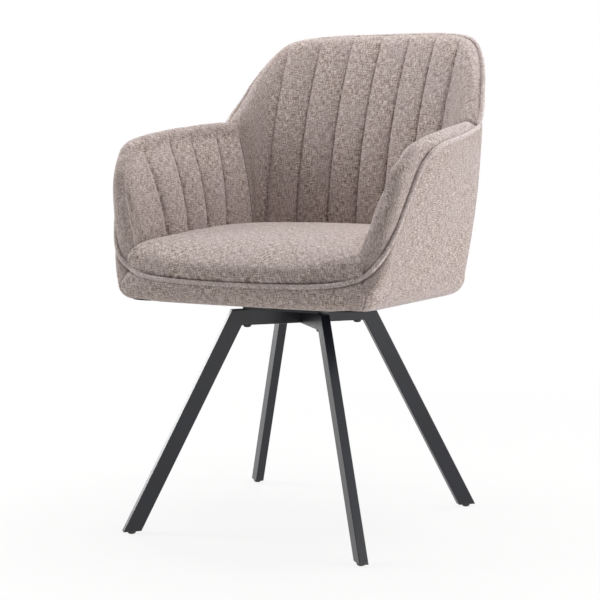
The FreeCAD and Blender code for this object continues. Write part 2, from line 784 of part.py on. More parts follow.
def base_nut():
    nut = hexagon(nut_width, lower_plate_top, lower_plate_top + nut_height, bolt_reach, 0)
    return nut.cut(cylinder(bolt_radius + fit_gap, base_top, lower_plate_top + nut_height + overrun, bolt_reach, 0))


def foot_centre():
    return (leg_line(glide_height, 0.0) + leg_line(glide_height, tube_depth)) / 2


def end_plug():
    low = glide_height
    lip = radial_prism([(leg_line(low, 0.0), low), (leg_line(leg_bottom, 0.0), leg_bottom),
                        (leg_line(leg_bottom, tube_depth), leg_bottom), (leg_line(low, tube_depth), low)],
                       tube_width / 2)
    lip = lip.makeFillet(tube_round, [e for e in lip.Edges if abs(e.Vertexes[0].Z - e.Vertexes[1].Z) > plug_lip / 2])
    inset = tube_wall + plug_clearance
    top = leg_bottom + plug_depth
    stem = radial_prism([(leg_line(leg_bottom, inset), leg_bottom), (leg_line(top, inset), top),
                         (leg_line(top, tube_depth - inset), top),
                         (leg_line(leg_bottom, tube_depth - inset), leg_bottom)], tube_width / 2 - inset)
    hole = cylinder(glide_stem_radius + stem_clearance, glide_height - overrun,
                    glide_height + glide_stem + stem_clearance, foot_centre(), 0)
    return lip.fuse(stem).removeSplitter().cut(hole)


def glide():
    """Domed nail-in glide: flat tread, round shoulder, stem."""
    edge = V(glide_radius, 0, glide_height)
    flat = V(glide_flat_radius, 0, 0)
    turn = cos(pi / 4)
    bow = V(glide_flat_radius + (glide_radius - glide_flat_radius) * turn, 0, glide_height * (1 - turn))
    outline = Part.Wire([line(V(0, 0, 0), flat), arc(flat, bow, edge), line(edge, V(0, 0, glide_height)),
                         line(V(0, 0, glide_height), V(0, 0, 0))])
    dome = Part.Face(outline).revolve(V(0, 0, 0), V(0, 0, 1), 360)
    stem = cylinder(glide_stem_radius, glide_height, glide_height + glide_stem)
    return dome.fuse(stem).removeSplitter().translated(V(foot_centre(), 0, 0))


leg_names = ["back_right", "back_left", "front_left", "front_right"]


def chair():
    right_arm = pad(side_run)
    right_cover = cover(side_run)
    right_panel = panel(side_run, panel_drop)
    nodes = {
        "seat_cushion": seat_cushion(), "back_pad": pad(back_run),
        "right_arm_pad": right_arm, "left_arm_pad": mirrored(right_arm),
        "front_cover": cover(front_run), "back_cover": cover(back_run),
        "right_side_cover": right_cover, "left_side_cover": mirrored(right_cover),
        "right_frame_panel": right_panel, "left_frame_panel": mirrored(right_panel),
        "back_frame_panel": panel(back_run, panel_drop), "front_frame_rail": panel(front_run, front_panel_drop),
        "seat_welt": seat_welt(), "rim_welt": rim_welt(),
        "seat_board": seat_board(), "dust_cover": dust_cover(),
        "tee_nuts": tee_nuts(), "seat_bolts": seat_bolts(),
        "upper_swivel_plate": upper_plate(), "upper_race": race(ball_height + race_land, plate_bottom),
        "bearing_balls": bearing_balls(), "ball_cage": ball_cage(),
        "lower_race": race(lower_plate_top, ball_height - race_land), "lower_swivel_plate": lower_plate(),
        "pivot_pin": pivot_pin(), "pivot_bush": pivot_bush(), "pin_washer": pin_washer(),
        "retaining_clip": retaining_clip(), "cross_bar": turned(cross_bar(), first_leg_angle + 90),
        "right_half_bar": turned(half_bar(tube_width / 2), first_leg_angle),
        "left_half_bar": turned(half_bar(tube_width / 2), first_leg_angle + 180),
        "base_bolts": [], "base_nuts": [],
    }
    for k, name in enumerate(leg_names):
        angle = first_leg_angle + 360.0 * k / leg_count
        nodes[name + "_leg"] = turned(leg(), angle)
        nodes[name + "_end_plug"] = turned(end_plug(), angle)
        nodes[name + "_glide"] = turned(glide(), angle)
        nodes["base_bolts"].append(turned(base_bolt(), angle))
        nodes["base_nuts"].append(turned(base_nut(), angle))
    return nodes


def write(nodes):
    os.makedirs("parts", exist_ok=True)
    for name, shape in nodes.items():
        solid = Part.makeCompound(shape) if isinstance(shape, list) else shape
        solid = solid.translated(V(0, -axis_forward, 0))
        solid.exportStep("parts/" + name + ".step")
        bounds = solid.BoundBox
        print(f"{name}: {len(solid.Solids)} solids, valid {solid.isValid()}, {solid.Volume / 1000:.1f} cm3,"
              f" x {bounds.XMin:.1f} {bounds.XMax:.1f} y {bounds.YMin:.1f} {bounds.YMax:.1f}"
              f" z {bounds.ZMin:.1f} {bounds.ZMax:.1f}")


write(chair())
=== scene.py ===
import json
from math import atan2, copysign, cos, pi, radians, sin, sqrt

import bpy
import numpy as np
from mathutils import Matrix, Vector, noise


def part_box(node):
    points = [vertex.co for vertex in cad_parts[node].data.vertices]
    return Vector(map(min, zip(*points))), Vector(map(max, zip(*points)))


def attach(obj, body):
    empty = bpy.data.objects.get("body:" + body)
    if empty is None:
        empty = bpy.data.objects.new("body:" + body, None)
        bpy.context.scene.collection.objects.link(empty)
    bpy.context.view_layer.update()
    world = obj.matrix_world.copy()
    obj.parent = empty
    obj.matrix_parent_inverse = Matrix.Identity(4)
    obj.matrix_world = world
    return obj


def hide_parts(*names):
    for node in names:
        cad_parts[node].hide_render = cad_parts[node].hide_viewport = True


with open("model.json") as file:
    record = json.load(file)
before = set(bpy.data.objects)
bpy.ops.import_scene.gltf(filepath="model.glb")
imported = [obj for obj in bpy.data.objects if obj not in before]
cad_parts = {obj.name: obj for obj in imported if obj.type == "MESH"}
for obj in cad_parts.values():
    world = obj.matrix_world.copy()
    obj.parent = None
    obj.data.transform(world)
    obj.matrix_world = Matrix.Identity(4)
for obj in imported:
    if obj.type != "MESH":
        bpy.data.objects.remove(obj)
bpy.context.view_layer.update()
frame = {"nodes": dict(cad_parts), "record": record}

# An upholstered swivel armchair. All sizes below are in millimetres about the swivel axis,
# front towards -Y. Pieces are made in them and then set down in the frame, in metres.

MM = 0.001
AXIS_AHEAD = 58.96           # the swivel axis stands this far in front of the chair's middle

# Heights
SHELL_BOTTOM = 411.4         # the covers' hem, at HEM_LEVEL_AT
PAD_BOTTOM = 427.4
WAIST = 436.0                # where the shell's plan outline is measured
ROUND_TOP = 443.0            # the covers run straight from here up
SEAT_LINE = 485.0            # where the inner walls of arms and back begin to rise
SEAT_TOP = 533.0
ARM_RISE = 230.0             # from the seat line to the arms' top
BACK_RISE = 398.0            # and to the back's top
ARM_WIDTH = 52.0             # unit of the tips' and arms' columns that lead outwards
BACK_RAKE = 163.0            # how far the back's top lies behind its foot

# Plan
FRONT_CORNER = (189.0, 185.0)        # centre of a front corner: out to the side, and ahead
FRONT_ROUND = 55.0
FRONT_FULLNESS = 5.5         # 2 would be a round corner; the photo shows fuller ones
FRONT_BOW = 6.0
SIDE_HALF_FRONT = 244.0
SIDE_HALF_BACK = 249.0
BACK_ROUND = 90.0
BACK_REACH = 262.0
BACK_BOW = 430.0
SEAT_HALF_FRONT = 213.0
SEAT_HALF_BACK = 192.0
SEAT_BACK_REACH = 211.0
SEAT_BACK_BOW = 390.0
TIP_INNER = 38.0             # from the corner's centre to the arm tip's inner foot

# The covers' lower edge
BOTTOM_ROUND = 27.0
BOTTOM_SLANT = 0.016         # it falls a little towards the back
HEM_LEVEL_AT = -150.0        # where along the chair the slanted hem has its own height
CORNER_LIFT = 2.6            # it is pulled up a little at the front corners
CORNER_OUT = 43.0            # the lifted spot, out and ahead of the corner's centre
LIFT_REACH = 80.0

# Profile. The rolls go from the crest to the shoulder, in and down, and to the brow, out and down
ARM_ROLL = (18.0, 20.0, 4.5, 5.0)
RIM_ROLL = (31.0, 18.0, 9.0, 1.2)
RIM_CREST_IN, RIM_CREST_UP = 16.0, 9.5       # the rim's crest, from its seam
RIM_RISE = 9.0               # the rim's piping stands up past the seam
BACK_BELLY, ARM_BELLY = 10.0, 4.0    # how far the covers belly out between hem and seam
TIP_BOW = 8.5                # the side covers bulge out below the piping at the front corners
COVER = 5.0                  # the covers' thickness, cloth and wadding
PANEL_NEAR, PANEL_FAR = 7.7, 16.1    # the frame panels' room behind the covers
PANEL_DROP = 24.0            # from the seam down to the panels' top
SLACK = 0.4                  # between neighbouring pieces inside
SEAM_HALF_GAP = 4.4
WELT = 8.0                   # the room between the cloths for the piping
PIPING_RADIUS = 4.2
PROUD = 4.2                  # how far the piping stands out past the cloth beside it
CHANNEL_DEPTH = 6.5
ARM_CHANNEL_DEPTH = 6.0
SEAM_DEPTH = 6.4             # how far the stitching draws a seam in

# Dust cover
DUST_HEM = 26.0              # its edge, in from the shell's waist line
DUST_OPENING = 82.4          # half the square cut for the swivel's plate
STAPLES = 44                 # round its hem; the cloth puckers a little at each

# Upright stations round the shell. Their columns are the arguments of tip_station, arm_station
# and back_station; those of FRONTS are along, turn, and the seam's out and height.
TIPS = [(-44.0, 0.89, -0.07, 0.80, 0.115, 0.22), (-36.0, 1.04, -0.04, 0.86, 0.18, 0.35),
        (-29.0, 1.19, 0.0, 0.97, 0.25, 0.52), (-22.0, 1.30, 0.05, 1.13, 0.32, 0.68),
        (-17.0, 1.37, 0.09, 1.26, 0.40, 0.80), (-8.0, 1.48, 0.18, 1.45, 0.515, 0.92)]
FRONTS = [(0.0, -90.0, 58.0, 451.5), (0.4, -90.0, 57.0, 452.0), (0.75, -90.0, 54.0, 454.0),
          (1.0, -90.0, 47.5, 458.5), (1.0, -73.0, 43.7, 462.0), (1.0, -58.0, 43.0, 465.0)]
ARMS = [(0.000, 0.000, 1.58, 0.27, 1.60, 0.66), (0.067, 0.067, 1.83, 0.51, 1.75, 0.78),
        (0.131, 0.131, 2.02, 0.70, 1.83, 0.855), (0.239, 0.239, 2.21, 0.826, 1.88, 0.898),
        (0.419, 0.48, 2.19, 0.883, 1.81, 0.948), (0.594, 0.666, 2.04, 0.909, 1.69, 0.974),
        (0.748, 0.893, 1.78, 0.950, 1.50, 1.000)]
BACKS = [(0.0, 90.0, 1.0, 0.975, -0.4), (0.302, 88.9, 1.0, 0.975, -0.4),
         (0.612, 88.4, 0.988, 0.970, -0.3), (0.891, 86.4, 0.968, 0.950, 0.1),
         (0.927, 81.2, 0.925, 0.925, 0.4), (0.953, 73.0, 0.819, 0.859, 0.8),
         (0.974, 61.3, 0.677, 0.764, 1.1), (0.99, 45.9, 0.55, 0.666, 0.95),
         (1.0, 15.3, 0.45, 0.558, 0.8)]
ARM_CHANNELS = 4
BACK_CHANNELS = 3            # on each side of the middle seam
# Columns across a channel, closer together near its seams
CHANNEL_PLACES = (0.0, 0.02, 0.055, 0.115, 0.2, 0.31, 0.42,
                  0.5, 0.58, 0.69, 0.8, 0.885, 0.945, 0.98)

rear_x = SIDE_HALF_BACK - BACK_ROUND
bow_centre = BACK_REACH - BACK_BOW
rear_y = bow_centre + sqrt((BACK_BOW - BACK_ROUND) ** 2 - rear_x ** 2)
seat_bow_centre = SEAT_BACK_REACH - SEAT_BACK_BOW
rear_corner_reach = seat_bow_centre + sqrt(SEAT_BACK_BOW ** 2 - SEAT_HALF_BACK ** 2)


def mix(a, b, share):
    return a + (b - a) * share


def settle(points):
    """Hub-centred millimetres to the frame's metres."""
    return (np.asarray(points, float) - (0.0, AXIS_AHEAD, 0.0)) * MM


# Colours and materials

def paint(code):
    """sRGB hex to linear RGBA."""
    parts = [int(code[k:k + 2], 16) / 255 for k in (1, 3, 5)]
    return [c / 12.92 if c <= 0.04045 else ((c + 0.055) / 1.055) ** 2.4 for c in parts] + [1.0]


def feed(tree, node, feeds):
    """Sets each named socket of a node, or links it to another node's output."""
    for socket, what in feeds.items():
        if isinstance(what, bpy.types.NodeSocket):
            tree.links.new(what, node.inputs[socket])
        else:
            node.inputs[socket].default_value = what


def add(tree, kind, feeds, out=0, stops=(), **settings):
    """Adds a node with its settings, its sockets' values and links; gives one of its outputs."""
    node = tree.nodes.new("ShaderNode" + kind)
    for name, value in settings.items():
        setattr(node, name, value)
    feed(tree, node, feeds)
    for k, (place, colour) in enumerate(stops):
        stop = node.color_ramp.elements[k] if k < 2 else node.color_ramp.elements.new(place)
        stop.position, stop.color = place, colour
    return node.outputs[out]


def new_material(name):
    """A material with its tree and its shader."""
    material = bpy.data.materials.new(name)
    material.use_nodes = True
    tree = material.node_tree
    return material, tree, tree.nodes["Principled BSDF"]


def grey(level):
    return (level, level, level, 1.0)


THREAD = 1.2                 # a slub's thickness, drawn about twice as coarse as real, to show
SLUB = 11.0                  # a slub's usual length
LINT = 1.3                   # loose fibres between the yarns
LINT_SHARE = 0.45            # how much they count beside the two yarns
CLOUD = (55.0, 80.0)         # soft clouds where the pile lies over
BLOTCH = (12.0, 14.0)        # small uneven patches of the dye


def woven_fabric(name, light, middle, dark, nap):
    """Heathered linen-like upholstery: slubby yarns of three tones woven square, then brushed,
    so its pile lies in soft lighter and darker clouds."""
    material, tree, shader = new_material(name)
    place = add(tree, "Attribute", {}, "Vector", attribute_name="cloth_mm")
    up = add(tree, "Mapping", {"Vector": place, "Scale": (1 / THREAD, 1 / SLUB, 1.0)})
    across = add(tree, "Mapping", {"Vector": place, "Scale": (1 / SLUB, 1 / THREAD, 1.0)})
    small = add(tree, "Mapping", {"Vector": place, "Scale": (1 / LINT, 1 / LINT, 1.0)})
    yarns = {"Scale": 1.0, "Detail": 2.0, "Roughness": 0.6, "Distortion": 0.25}
    warp = add(tree, "TexNoise", {"Vector": up, **yarns})
    weft = add(tree, "TexNoise", {"Vector": across, **yarns})
    lint = add(tree, "TexNoise", {"Vector": small, "Scale": 1.0, "Detail": 1.0})
    both = add(tree, "Math", {0: warp, 1: weft}, operation="ADD")
    yarn = add(tree, "Math", {0: lint, 1: LINT_SHARE, 2: both}, operation="MULTIPLY_ADD")
    yarn = add(tree, "Math", {0: yarn, 1: 2.0 + LINT_SHARE}, operation="DIVIDE")
    tones = add(tree, "ValToRGB", {"Fac": yarn},
                stops=[(0.42, paint(dark)), (0.50, paint(middle)), (0.58, paint(light))])
    wide = add(tree, "Mapping", {"Vector": place, "Scale": (1 / CLOUD[0], 1 / CLOUD[1], 1.0)})
    clouds = add(tree, "TexNoise", {"Vector": wide, "Scale": 1.0, "Detail": 2.0, "Roughness": 0.55})
    share = add(tree, "ValToRGB", {"Fac": clouds}, stops=[(0.35, grey(0.0)), (0.68, grey(0.35))])
    tones = add(tree, "Mix", {0: share, 6: tones, 7: paint(nap)}, 2, data_type="RGBA")
    patch = add(tree, "Mapping", {"Vector": place, "Scale": (1 / BLOTCH[0], 1 / BLOTCH[1], 1.0)})
    dye = add(tree, "TexNoise", {"Vector": patch, "Scale": 1.0, "Detail": 2.0, "Roughness": 0.6})
    shade = add(tree, "ValToRGB", {"Fac": dye}, stops=[(0.3, grey(0.94)), (0.7, grey(1.0))])
    tones = add(tree, "Mix", {0: 1.0, 6: tones, 7: shade}, 2,
                data_type="RGBA", blend_type="MULTIPLY")
    bump = add(tree, "Bump", {"Height": both, "Strength": 0.45, "Distance": 0.6 * MM})
    feed(tree, shader, {"Base Color": tones, "Roughness": 0.95, "Normal": bump,
                        "Specular IOR Level": 0.15, "Sheen Weight": 0.34,
                        "Sheen Roughness": 0.45, "Sheen Tint": paint("#dcdee8")})
    return material


def powder_coat(name, dark, light, roughness, grain, depth):
    """Baked powder over steel: fine orange-peel texture, satin."""
    material, tree, shader = new_material(name)
    place = add(tree, "TexCoord", {}, "Object")
    close = add(tree, "Mapping", {"Vector": place, "Scale": [1 / (grain * MM)] * 3})
    peel = add(tree, "TexNoise", {"Vector": close, "Scale": 1.0, "Detail": 2.0, "Roughness": 0.6})
    wide = add(tree, "TexNoise", {"Vector": place, "Scale": 16.0, "Detail": 2.0})
    colour = add(tree, "ValToRGB", {"Fac": wide}, stops=[(0.3, paint(dark)), (0.7, paint(light))])
    gloss = add(tree, "ValToRGB", {"Fac": peel},
                stops=[(0.3, grey(roughness - 0.06)), (0.7, grey(roughness + 0.08))])
    bump = add(tree, "Bump", {"Height": peel, "Strength": 0.35, "Distance": depth * MM})
    feed(tree, shader, {"Base Color": colour, "Roughness": gloss, "Normal": bump})
    return material


def bare_metal(name, dark, light, roughness, grain):
    """Plated, pressed or polished metal, with faint clouds and fine marks."""
    material, tree, shader = new_material(name)
    place = add(tree, "TexCoord", {}, "Object")
    close = add(tree, "Mapping", {"Vector": place, "Scale": [1 / (grain * MM)] * 3})
    marks = add(tree, "TexNoise", {"Vector": close, "Scale": 1.0, "Detail": 3.0, "Roughness": 0.6})
    colour = add(tree, "ValToRGB", {"Fac": marks}, stops=[(0.3, paint(dark)), (0.7, paint(light))])
    gloss = add(tree, "ValToRGB", {"Fac": marks},
                stops=[(0.3, grey(roughness * 0.7)), (0.7, grey(roughness * 1.3))])
    feed(tree, shader, {"Base Color": colour, "Roughness": gloss, "Metallic": 1.0})
    return material


def moulded_plastic(name, dark, light, roughness):
    """Moulded nylon: satin, with a fine spark-eroded grain."""
    material, tree, shader = new_material(name)
    place = add(tree, "TexCoord", {}, "Object")
    close = add(tree, "Mapping", {"Vector": place, "Scale": [1 / (0.8 * MM)] * 3})
    grain = add(tree, "TexNoise", {"Vector": close, "Scale": 1.0, "Detail": 2.0, "Roughness": 0.6})
    colour = add(tree, "ValToRGB", {"Fac": grain}, stops=[(0.3, paint(dark)), (0.7, paint(light))])
    bump = add(tree, "Bump", {"Height": grain, "Strength": 0.25, "Distance": 0.05 * MM})
    feed(tree, shader, {"Base Color": colour, "Roughness": roughness, "IOR": 1.53, "Normal": bump})
    return material


def bent_plywood(name):
    """Raw beech-faced plywood: long pale grain, sanded."""
    material, tree, shader = new_material(name)
    place = add(tree, "TexCoord", {}, "Object")
    long_ways = add(tree, "Mapping", {"Vector": place, "Scale": (11.0, 250.0, 11.0)})
    grain = add(tree, "TexNoise", {"Vector": long_ways, "Scale": 1.0, "Detail": 3.0,
                                   "Roughness": 0.6, "Distortion": 0.4})
    colour = add(tree, "ValToRGB", {"Fac": grain},
                 stops=[(0.3, paint("#a98458")), (0.7, paint("#cfae80"))])
    feed(tree, shader, {"Base Color": colour, "Roughness": 0.7})
    return material


def spun_bonded_cloth(name):
    """Black spun-bonded cloth: pressed fibres with a grid of small welded dots, 3 mm apart."""
    material, tree, shader = new_material(name)
    place = add(tree, "TexCoord", {}, "Object")
    close = add(tree, "Mapping", {"Vector": place, "Scale": [1 / (1.2 * MM)] * 3})
    grid = add(tree, "Mapping", {"Vector": place, "Scale": [1 / (3.0 * MM)] * 3})
    fibres = add(tree, "TexNoise", {"Vector": close, "Scale": 1.0, "Detail": 3.0, "Roughness": 0.7})
    dots = add(tree, "TexVoronoi", {"Vector": grid, "Scale": 1.0, "Randomness": 0.1}, "Distance")
    colour = add(tree, "ValToRGB", {"Fac": fibres},
                 stops=[(0.3, paint("#121213")), (0.7, paint("#232325"))])
    bump = add(tree, "Bump", {"Height": dots, "Strength": 0.4, "Distance": 0.3 * MM})
    feed(tree, shader, {"Base Color": colour, "Roughness": 0.85, "Normal": bump})
    return material


finishes = {
    "woven_fabric": woven_fabric("heathered_taupe_weave",
                                 "#e8dcd7", "#ae9e95", "#6d5b50", "#b6a7a8"),
    # The piping is the same cloth as the covers. Its colours are a lighter copy of theirs, a
    # painted highlight for the light its round cord catches on top.
    "welt_fabric": woven_fabric("heathered_taupe_piping_painted_highlight",
                                "#f0e6e3", "#c1b2ac", "#8a7972", "#c8bab9"),
    "plywood": bent_plywood("bent_plywood"),
    "dust_cloth": spun_bonded_cloth("spun_bonded_dust_cloth"),
    "black_steel": powder_coat("black_powder_coat", "#0d0f18", "#141620", 0.3, 0.9, 0.03),
    "black_bolt_steel": powder_coat("black_oxide_steel", "#161617", "#1e1e20", 0.36, 2.0, 0.02),
    "zinc_steel": bare_metal("bright_zinc_plate", "#a2a5a8", "#b9bcbf", 0.35, 6.0),
    "bearing_steel": bare_metal("pressed_bearing_steel", "#84868a", "#9a9ca0", 0.3, 3.0),
    "ball_steel": bare_metal("polished_ball_steel", "#b4b6b9", "#c6c8ca", 0.12, 4.0),
    "cage_plastic": moulded_plastic("natural_nylon", "#d6d0bf", "#e3decf", 0.45),
    "bush_bronze": bare_metal("sintered_bronze", "#8a6a3e", "#a5834f", 0.45, 1.0),
    "black_plastic": moulded_plastic("moulded_black_nylon", "#141415", "#1e1e20", 0.42),
}

for part in frame["record"]["subparts"]:
    mesh = frame["nodes"][part["node"]].data
    mesh.materials.clear()
    mesh.materials.append(finishes[part["material_slot"]])


# Camera: the photo was taken 28 degrees round to the chair's right, from a little above

camera = bpy.data.cameras.new("camera")
camera.lens = 96.53
camera.sensor_width = 36.0
camera.clip_end = 50.0
eye = bpy.data.objects.new("camera", camera)
eye.location = (1.3448, -2.5842, 0.7325)
eye.rotation_euler = (radians(83.3993), radians(0.3567), radians(28.0927))
bpy.context.scene.collection.objects.link(eye)
bpy.context.scene.camera = eye
bpy.context.scene.view_settings.view_transform = "Standard"


# Studio: pale floor that runs to the horizon, white to the eye, with the chair's soft shadow

def seen_white(tree):
    """1 for the rays that show a surface to the eye: straight, mirrored or through glass."""
    seen = add(tree, "LightPath", {}, "Is Camera Ray")
    mirrored = add(tree, "LightPath", {}, "Is Glossy Ray")
    through = add(tree, "LightPath", {}, "Is Transmission Ray")
    seen = add(tree, "Math", {0: seen, 1: mirrored}, operation="MAXIMUM")
    return add(tree, "Math", {0: seen, 1: through}, operation="MAXIMUM")


def studio_white():
    """White sweep: matt paper for the light, and nearly its own white for the camera."""
    material, tree, shader = new_material("white_sweep")
    feed(tree, shader, {"Base Color": paint("#e8e6e4"), "Roughness": 0.9,
                        "Specular IOR Level": 0.1})
    seen = seen_white(tree)
    ground = add(tree, "TexCoord", {}, "Object")
    away = add(tree, "VectorMath", {0: ground}, "Value", operation="LENGTH")
    clear = add(tree, "MapRange", {"Value": away, "From Min": 0.5, "From Max": 1.6,
                                   "To Min": 0.86, "To Max": 1.0})
    share = add(tree, "Math", {0: seen, 1: clear}, operation="MULTIPLY")
    white = add(tree, "Emission", {"Color": (1, 1, 1, 1), "Strength": 1.0})
    both = add(tree, "MixShader", {0: share, 1: shader.outputs["BSDF"], 2: white})
    feed(tree, tree.nodes["Material Output"], {"Surface": both})
    return material


FLOOR_REACH = 14.0           # metres
floor_mesh = bpy.data.meshes.new("floor")
floor_mesh.from_pydata([(-FLOOR_REACH, -FLOOR_REACH, 0), (FLOOR_REACH, -FLOOR_REACH, 0),
                        (FLOOR_REACH, FLOOR_REACH, 0), (-FLOOR_REACH, FLOOR_REACH, 0)],
                       [], [(0, 1, 2, 3)])
floor_mesh.materials.append(studio_white())
floor_piece = bpy.data.objects.new("floor", floor_mesh)
bpy.context.scene.collection.objects.link(floor_piece)

world = bpy.data.worlds.new("studio")
bpy.context.scene.world = world
world.use_nodes = True
sky = world.node_tree
WORLD_LIGHT = 0.05           # what the white room itself gives, beside the lamps
feed(sky, sky.nodes["Background"], {
    "Color": (1, 1, 1, 1),
    "Strength": add(sky, "Math", {0: seen_white(sky), 1: WORLD_LIGHT}, operation="MAXIMUM")})


def lamp(name, place, aim, width, height, watts):
    """A soft box that shines from a place towards another."""
    light = bpy.data.lights.new(name, "AREA")
    light.shape = "RECTANGLE"
    light.size = width
    light.size_y = height
    light.energy = watts
    piece = bpy.data.objects.new(name, light)
    piece.location = place
    piece.rotation_euler = (Vector(aim) - Vector(place)).to_track_quat("-Z", "Y").to_euler()
    bpy.context.scene.collection.objects.link(piece)


CHAIR_MIDDLE = (0.0, 0.0, 0.5)
lamp("right_soft_box", (2.4, 0.9, 0.75), CHAIR_MIDDLE, 1.2, 1.1, 37.0)
lamp("right_front_soft_box", (2.6, -1.2, 0.9), CHAIR_MIDDLE, 1.0, 1.2, 16.5)
lamp("left_soft_box", (-2.4, -0.9, 1.7), CHAIR_MIDDLE, 1.2, 1.4, 47.0)
lamp("rear_left_soft_box", (-2.6, 1.3, 1.0), CHAIR_MIDDLE, 1.2, 1.8, 30.0)
lamp("top_soft_box", (0.2, 0.55, 2.7), CHAIR_MIDDLE, 1.6, 1.6, 53.0)
lamp("top_front_soft_box", (0.0, -1.2, 2.6), CHAIR_MIDDLE, 1.4, 1.2, 5.0)


# Plan of the shell and the wall's stations

def outline_distance(x, y):
    """How far a plan point lies outside the shell's waist line."""
    x = abs(x)
    corner_x, corner_y = FRONT_CORNER
    if y < -corner_y:
        if x > corner_x:
            full = FRONT_FULLNESS
            return ((x - corner_x) ** full + (-y - corner_y) ** full) ** (1 / full) - FRONT_ROUND
        return -y - corner_y - FRONT_ROUND - FRONT_BOW * (1 - (x / corner_x) ** 2)
    if y > rear_y:
        if x * (rear_y - bow_centre) > rear_x * (y - bow_centre):
            return sqrt((x - rear_x) ** 2 + (y - rear_y) ** 2) - BACK_ROUND
        return sqrt(x ** 2 + (y - bow_centre) ** 2) - BACK_BOW
    return x - mix(SIDE_HALF_FRONT, SIDE_HALF_BACK, (y + corner_y) / (rear_y + corner_y))


def reach_to_outline(x, y, dx, dy):
    """How far it is from a plan point to the waist line, along a direction, by halving."""
    near, far = 0.0, BACK_BOW
    for _ in range(26):
        middle = (near + far) / 2
        if outline_distance(x + dx * middle, y + dy * middle) < 0:
            near = middle
        else:
            far = middle
    return near


class Station:
    """An upright plane through the wall: a plan point, the way out, and the wall's profile."""

    def __init__(self, x, y, angle, inner, seam_out, seam_z, crest_out, crest_z,
                 fullness, lean, bow):
        self.values = (x, y, angle, inner, seam_out, seam_z, crest_out, crest_z,
                       fullness, lean, bow)
        self.x, self.y = x, y
        self.dx, self.dy = cos(radians(angle)), sin(radians(angle))
        self.inner, self.fullness, self.lean, self.bow = inner, fullness, lean, bow
        self.seam = (seam_out, seam_z)
        self.crest = (crest_out, crest_z)
        self.foot = reach_to_outline(x, y - lean * (SEAT_LINE - WAIST), self.dx, self.dy)

    def at(self, out, z):
        """The point this far out and this high in the station's plane."""
        return (self.x + self.dx * out, self.y + self.lean * (z - SEAT_LINE) + self.dy * out, z)

    def outer(self, z):
        """How far out the covers' face is at a height."""
        share = (z - WAIST) / (self.seam[1] - WAIST)
        return mix(self.foot, self.seam[0], share) + 4 * share * (1 - share) * self.bow

    def flipped(self):
        x, y, angle, *rest = self.values
        return Station(-x, y, copysign(180.0, angle) - angle, *rest)


def hermite(t, a, b, m, n):
    """Smooth curve from a to b, starting with slope m and ending with slope n."""
    return ((2 * t - 3) * t * t * (a - b) + a) + ((t - 2) * t + 1) * t * m + (t - 1) * t * t * n


def tip_station(angle, out, up, crest, height, fullness):
    """In an arm's front end, which turns round the front corner: seam and crest, out and up."""
    turned = angle / TIPS[0][0]
    inner = mix(SEAT_HALF_FRONT - FRONT_CORNER[0], TIP_INNER, turned ** 2)
    bow = mix(TIP_BOW, 1.0, turned ** 4)
    return Station(FRONT_CORNER[0], -FRONT_CORNER[1], angle, inner,
                   out * ARM_WIDTH, SEAT_LINE + up * ARM_RISE,
                   crest * ARM_WIDTH, SEAT_LINE + height * ARM_RISE, fullness, 0.0, bow)


def arm_station(foot, top, out, up, crest, height):
    """In an arm: where foot and top stand along the seat, and seam and crest, out and up."""
    y = mix(-FRONT_CORNER[1], rear_corner_reach, foot)
    lean = (mix(-FRONT_CORNER[1], rear_corner_reach, top) - y) / ARM_RISE
    taper = max(0.0, (foot - 0.5) / 0.5)
    inner = mix(SEAT_HALF_FRONT, SEAT_HALF_BACK, taper) - FRONT_CORNER[0]
    return Station(FRONT_CORNER[0], y, 0.0, inner, out * ARM_WIDTH, SEAT_LINE + up * ARM_RISE,
                   crest * ARM_WIDTH, SEAT_LINE + height * ARM_RISE, 1.0, lean, ARM_BELLY)


def back_station(along, angle, out, up, bow):
    """In the back, by its place along the seat's rear edge: the way out, and the rim's seam."""
    x = along * SEAT_HALF_BACK
    y = seat_bow_centre + sqrt(SEAT_BACK_BOW ** 2 - x ** 2)
    seam_out, seam_z = out * BACK_RAKE, SEAT_LINE + up * BACK_RISE
    return Station(x, y, angle, 0.0, seam_out, seam_z, seam_out - RIM_CREST_IN,
                   seam_z + RIM_CREST_UP, 1.0, 0.0, bow * BACK_BELLY)


def half_front():
    """The front seam's stations, from the middle to the corner, where the arm's tip begins."""
    rows = [Station(along * FRONT_CORNER[0], -FRONT_CORNER[1], turn, 0.0, out, z, out, z,
                    0.0, 0.0, 1.0) for along, turn, out, z in FRONTS]
    return rows + tips[:1]


def across(half):
    """A run of stations from its half, which begins in the middle."""
    return [s.flipped() for s in half[:0:-1]] + half


PLAIN_STEP = 7.0             # between columns where there is no channel
END_STEP = 1.5               # and beside a run's two ends


def filled(stations, channels):
    """The run with many stations between: (station, place within its stretch, is it a channel)."""
    last = len(stations) - 1
    places = [0.0]
    for a, b in zip(stations, stations[1:]):
        places.append(places[-1] + np.linalg.norm(np.subtract(b.at(*b.seam), a.at(*a.seam))))
    slopes = []
    for k in range(last + 1):
        low, high = max(k - 1, 0), min(k + 1, last)
        apart = places[high] - places[low]
        slopes.append([(b - a) / apart
                       for a, b in zip(stations[low].values, stations[high].values)])
    run = []
    for k in range(last):
        width = places[k + 1] - places[k]
        ends = zip(stations[k].values, stations[k + 1].values, slopes[k], slopes[k + 1])
        ends = [(a, b, m * width, n * width) for a, b, m, n in ends]
        if channels[k]:
            shares = CHANNEL_PLACES
        else:
            count = max(2, round(width / PLAIN_STEP))
            shares = [i / count for i in range(count)]
            shares += [1 - END_STEP / width] if k == last - 1 else []
            shares += [END_STEP / width] if k == 0 else []
            shares.sort()
        for t in shares:
            run.append((Station(*[hermite(t, *end) for end in ends]), t, channels[k]))
    return run + [(stations[last], 0.0, 0)]


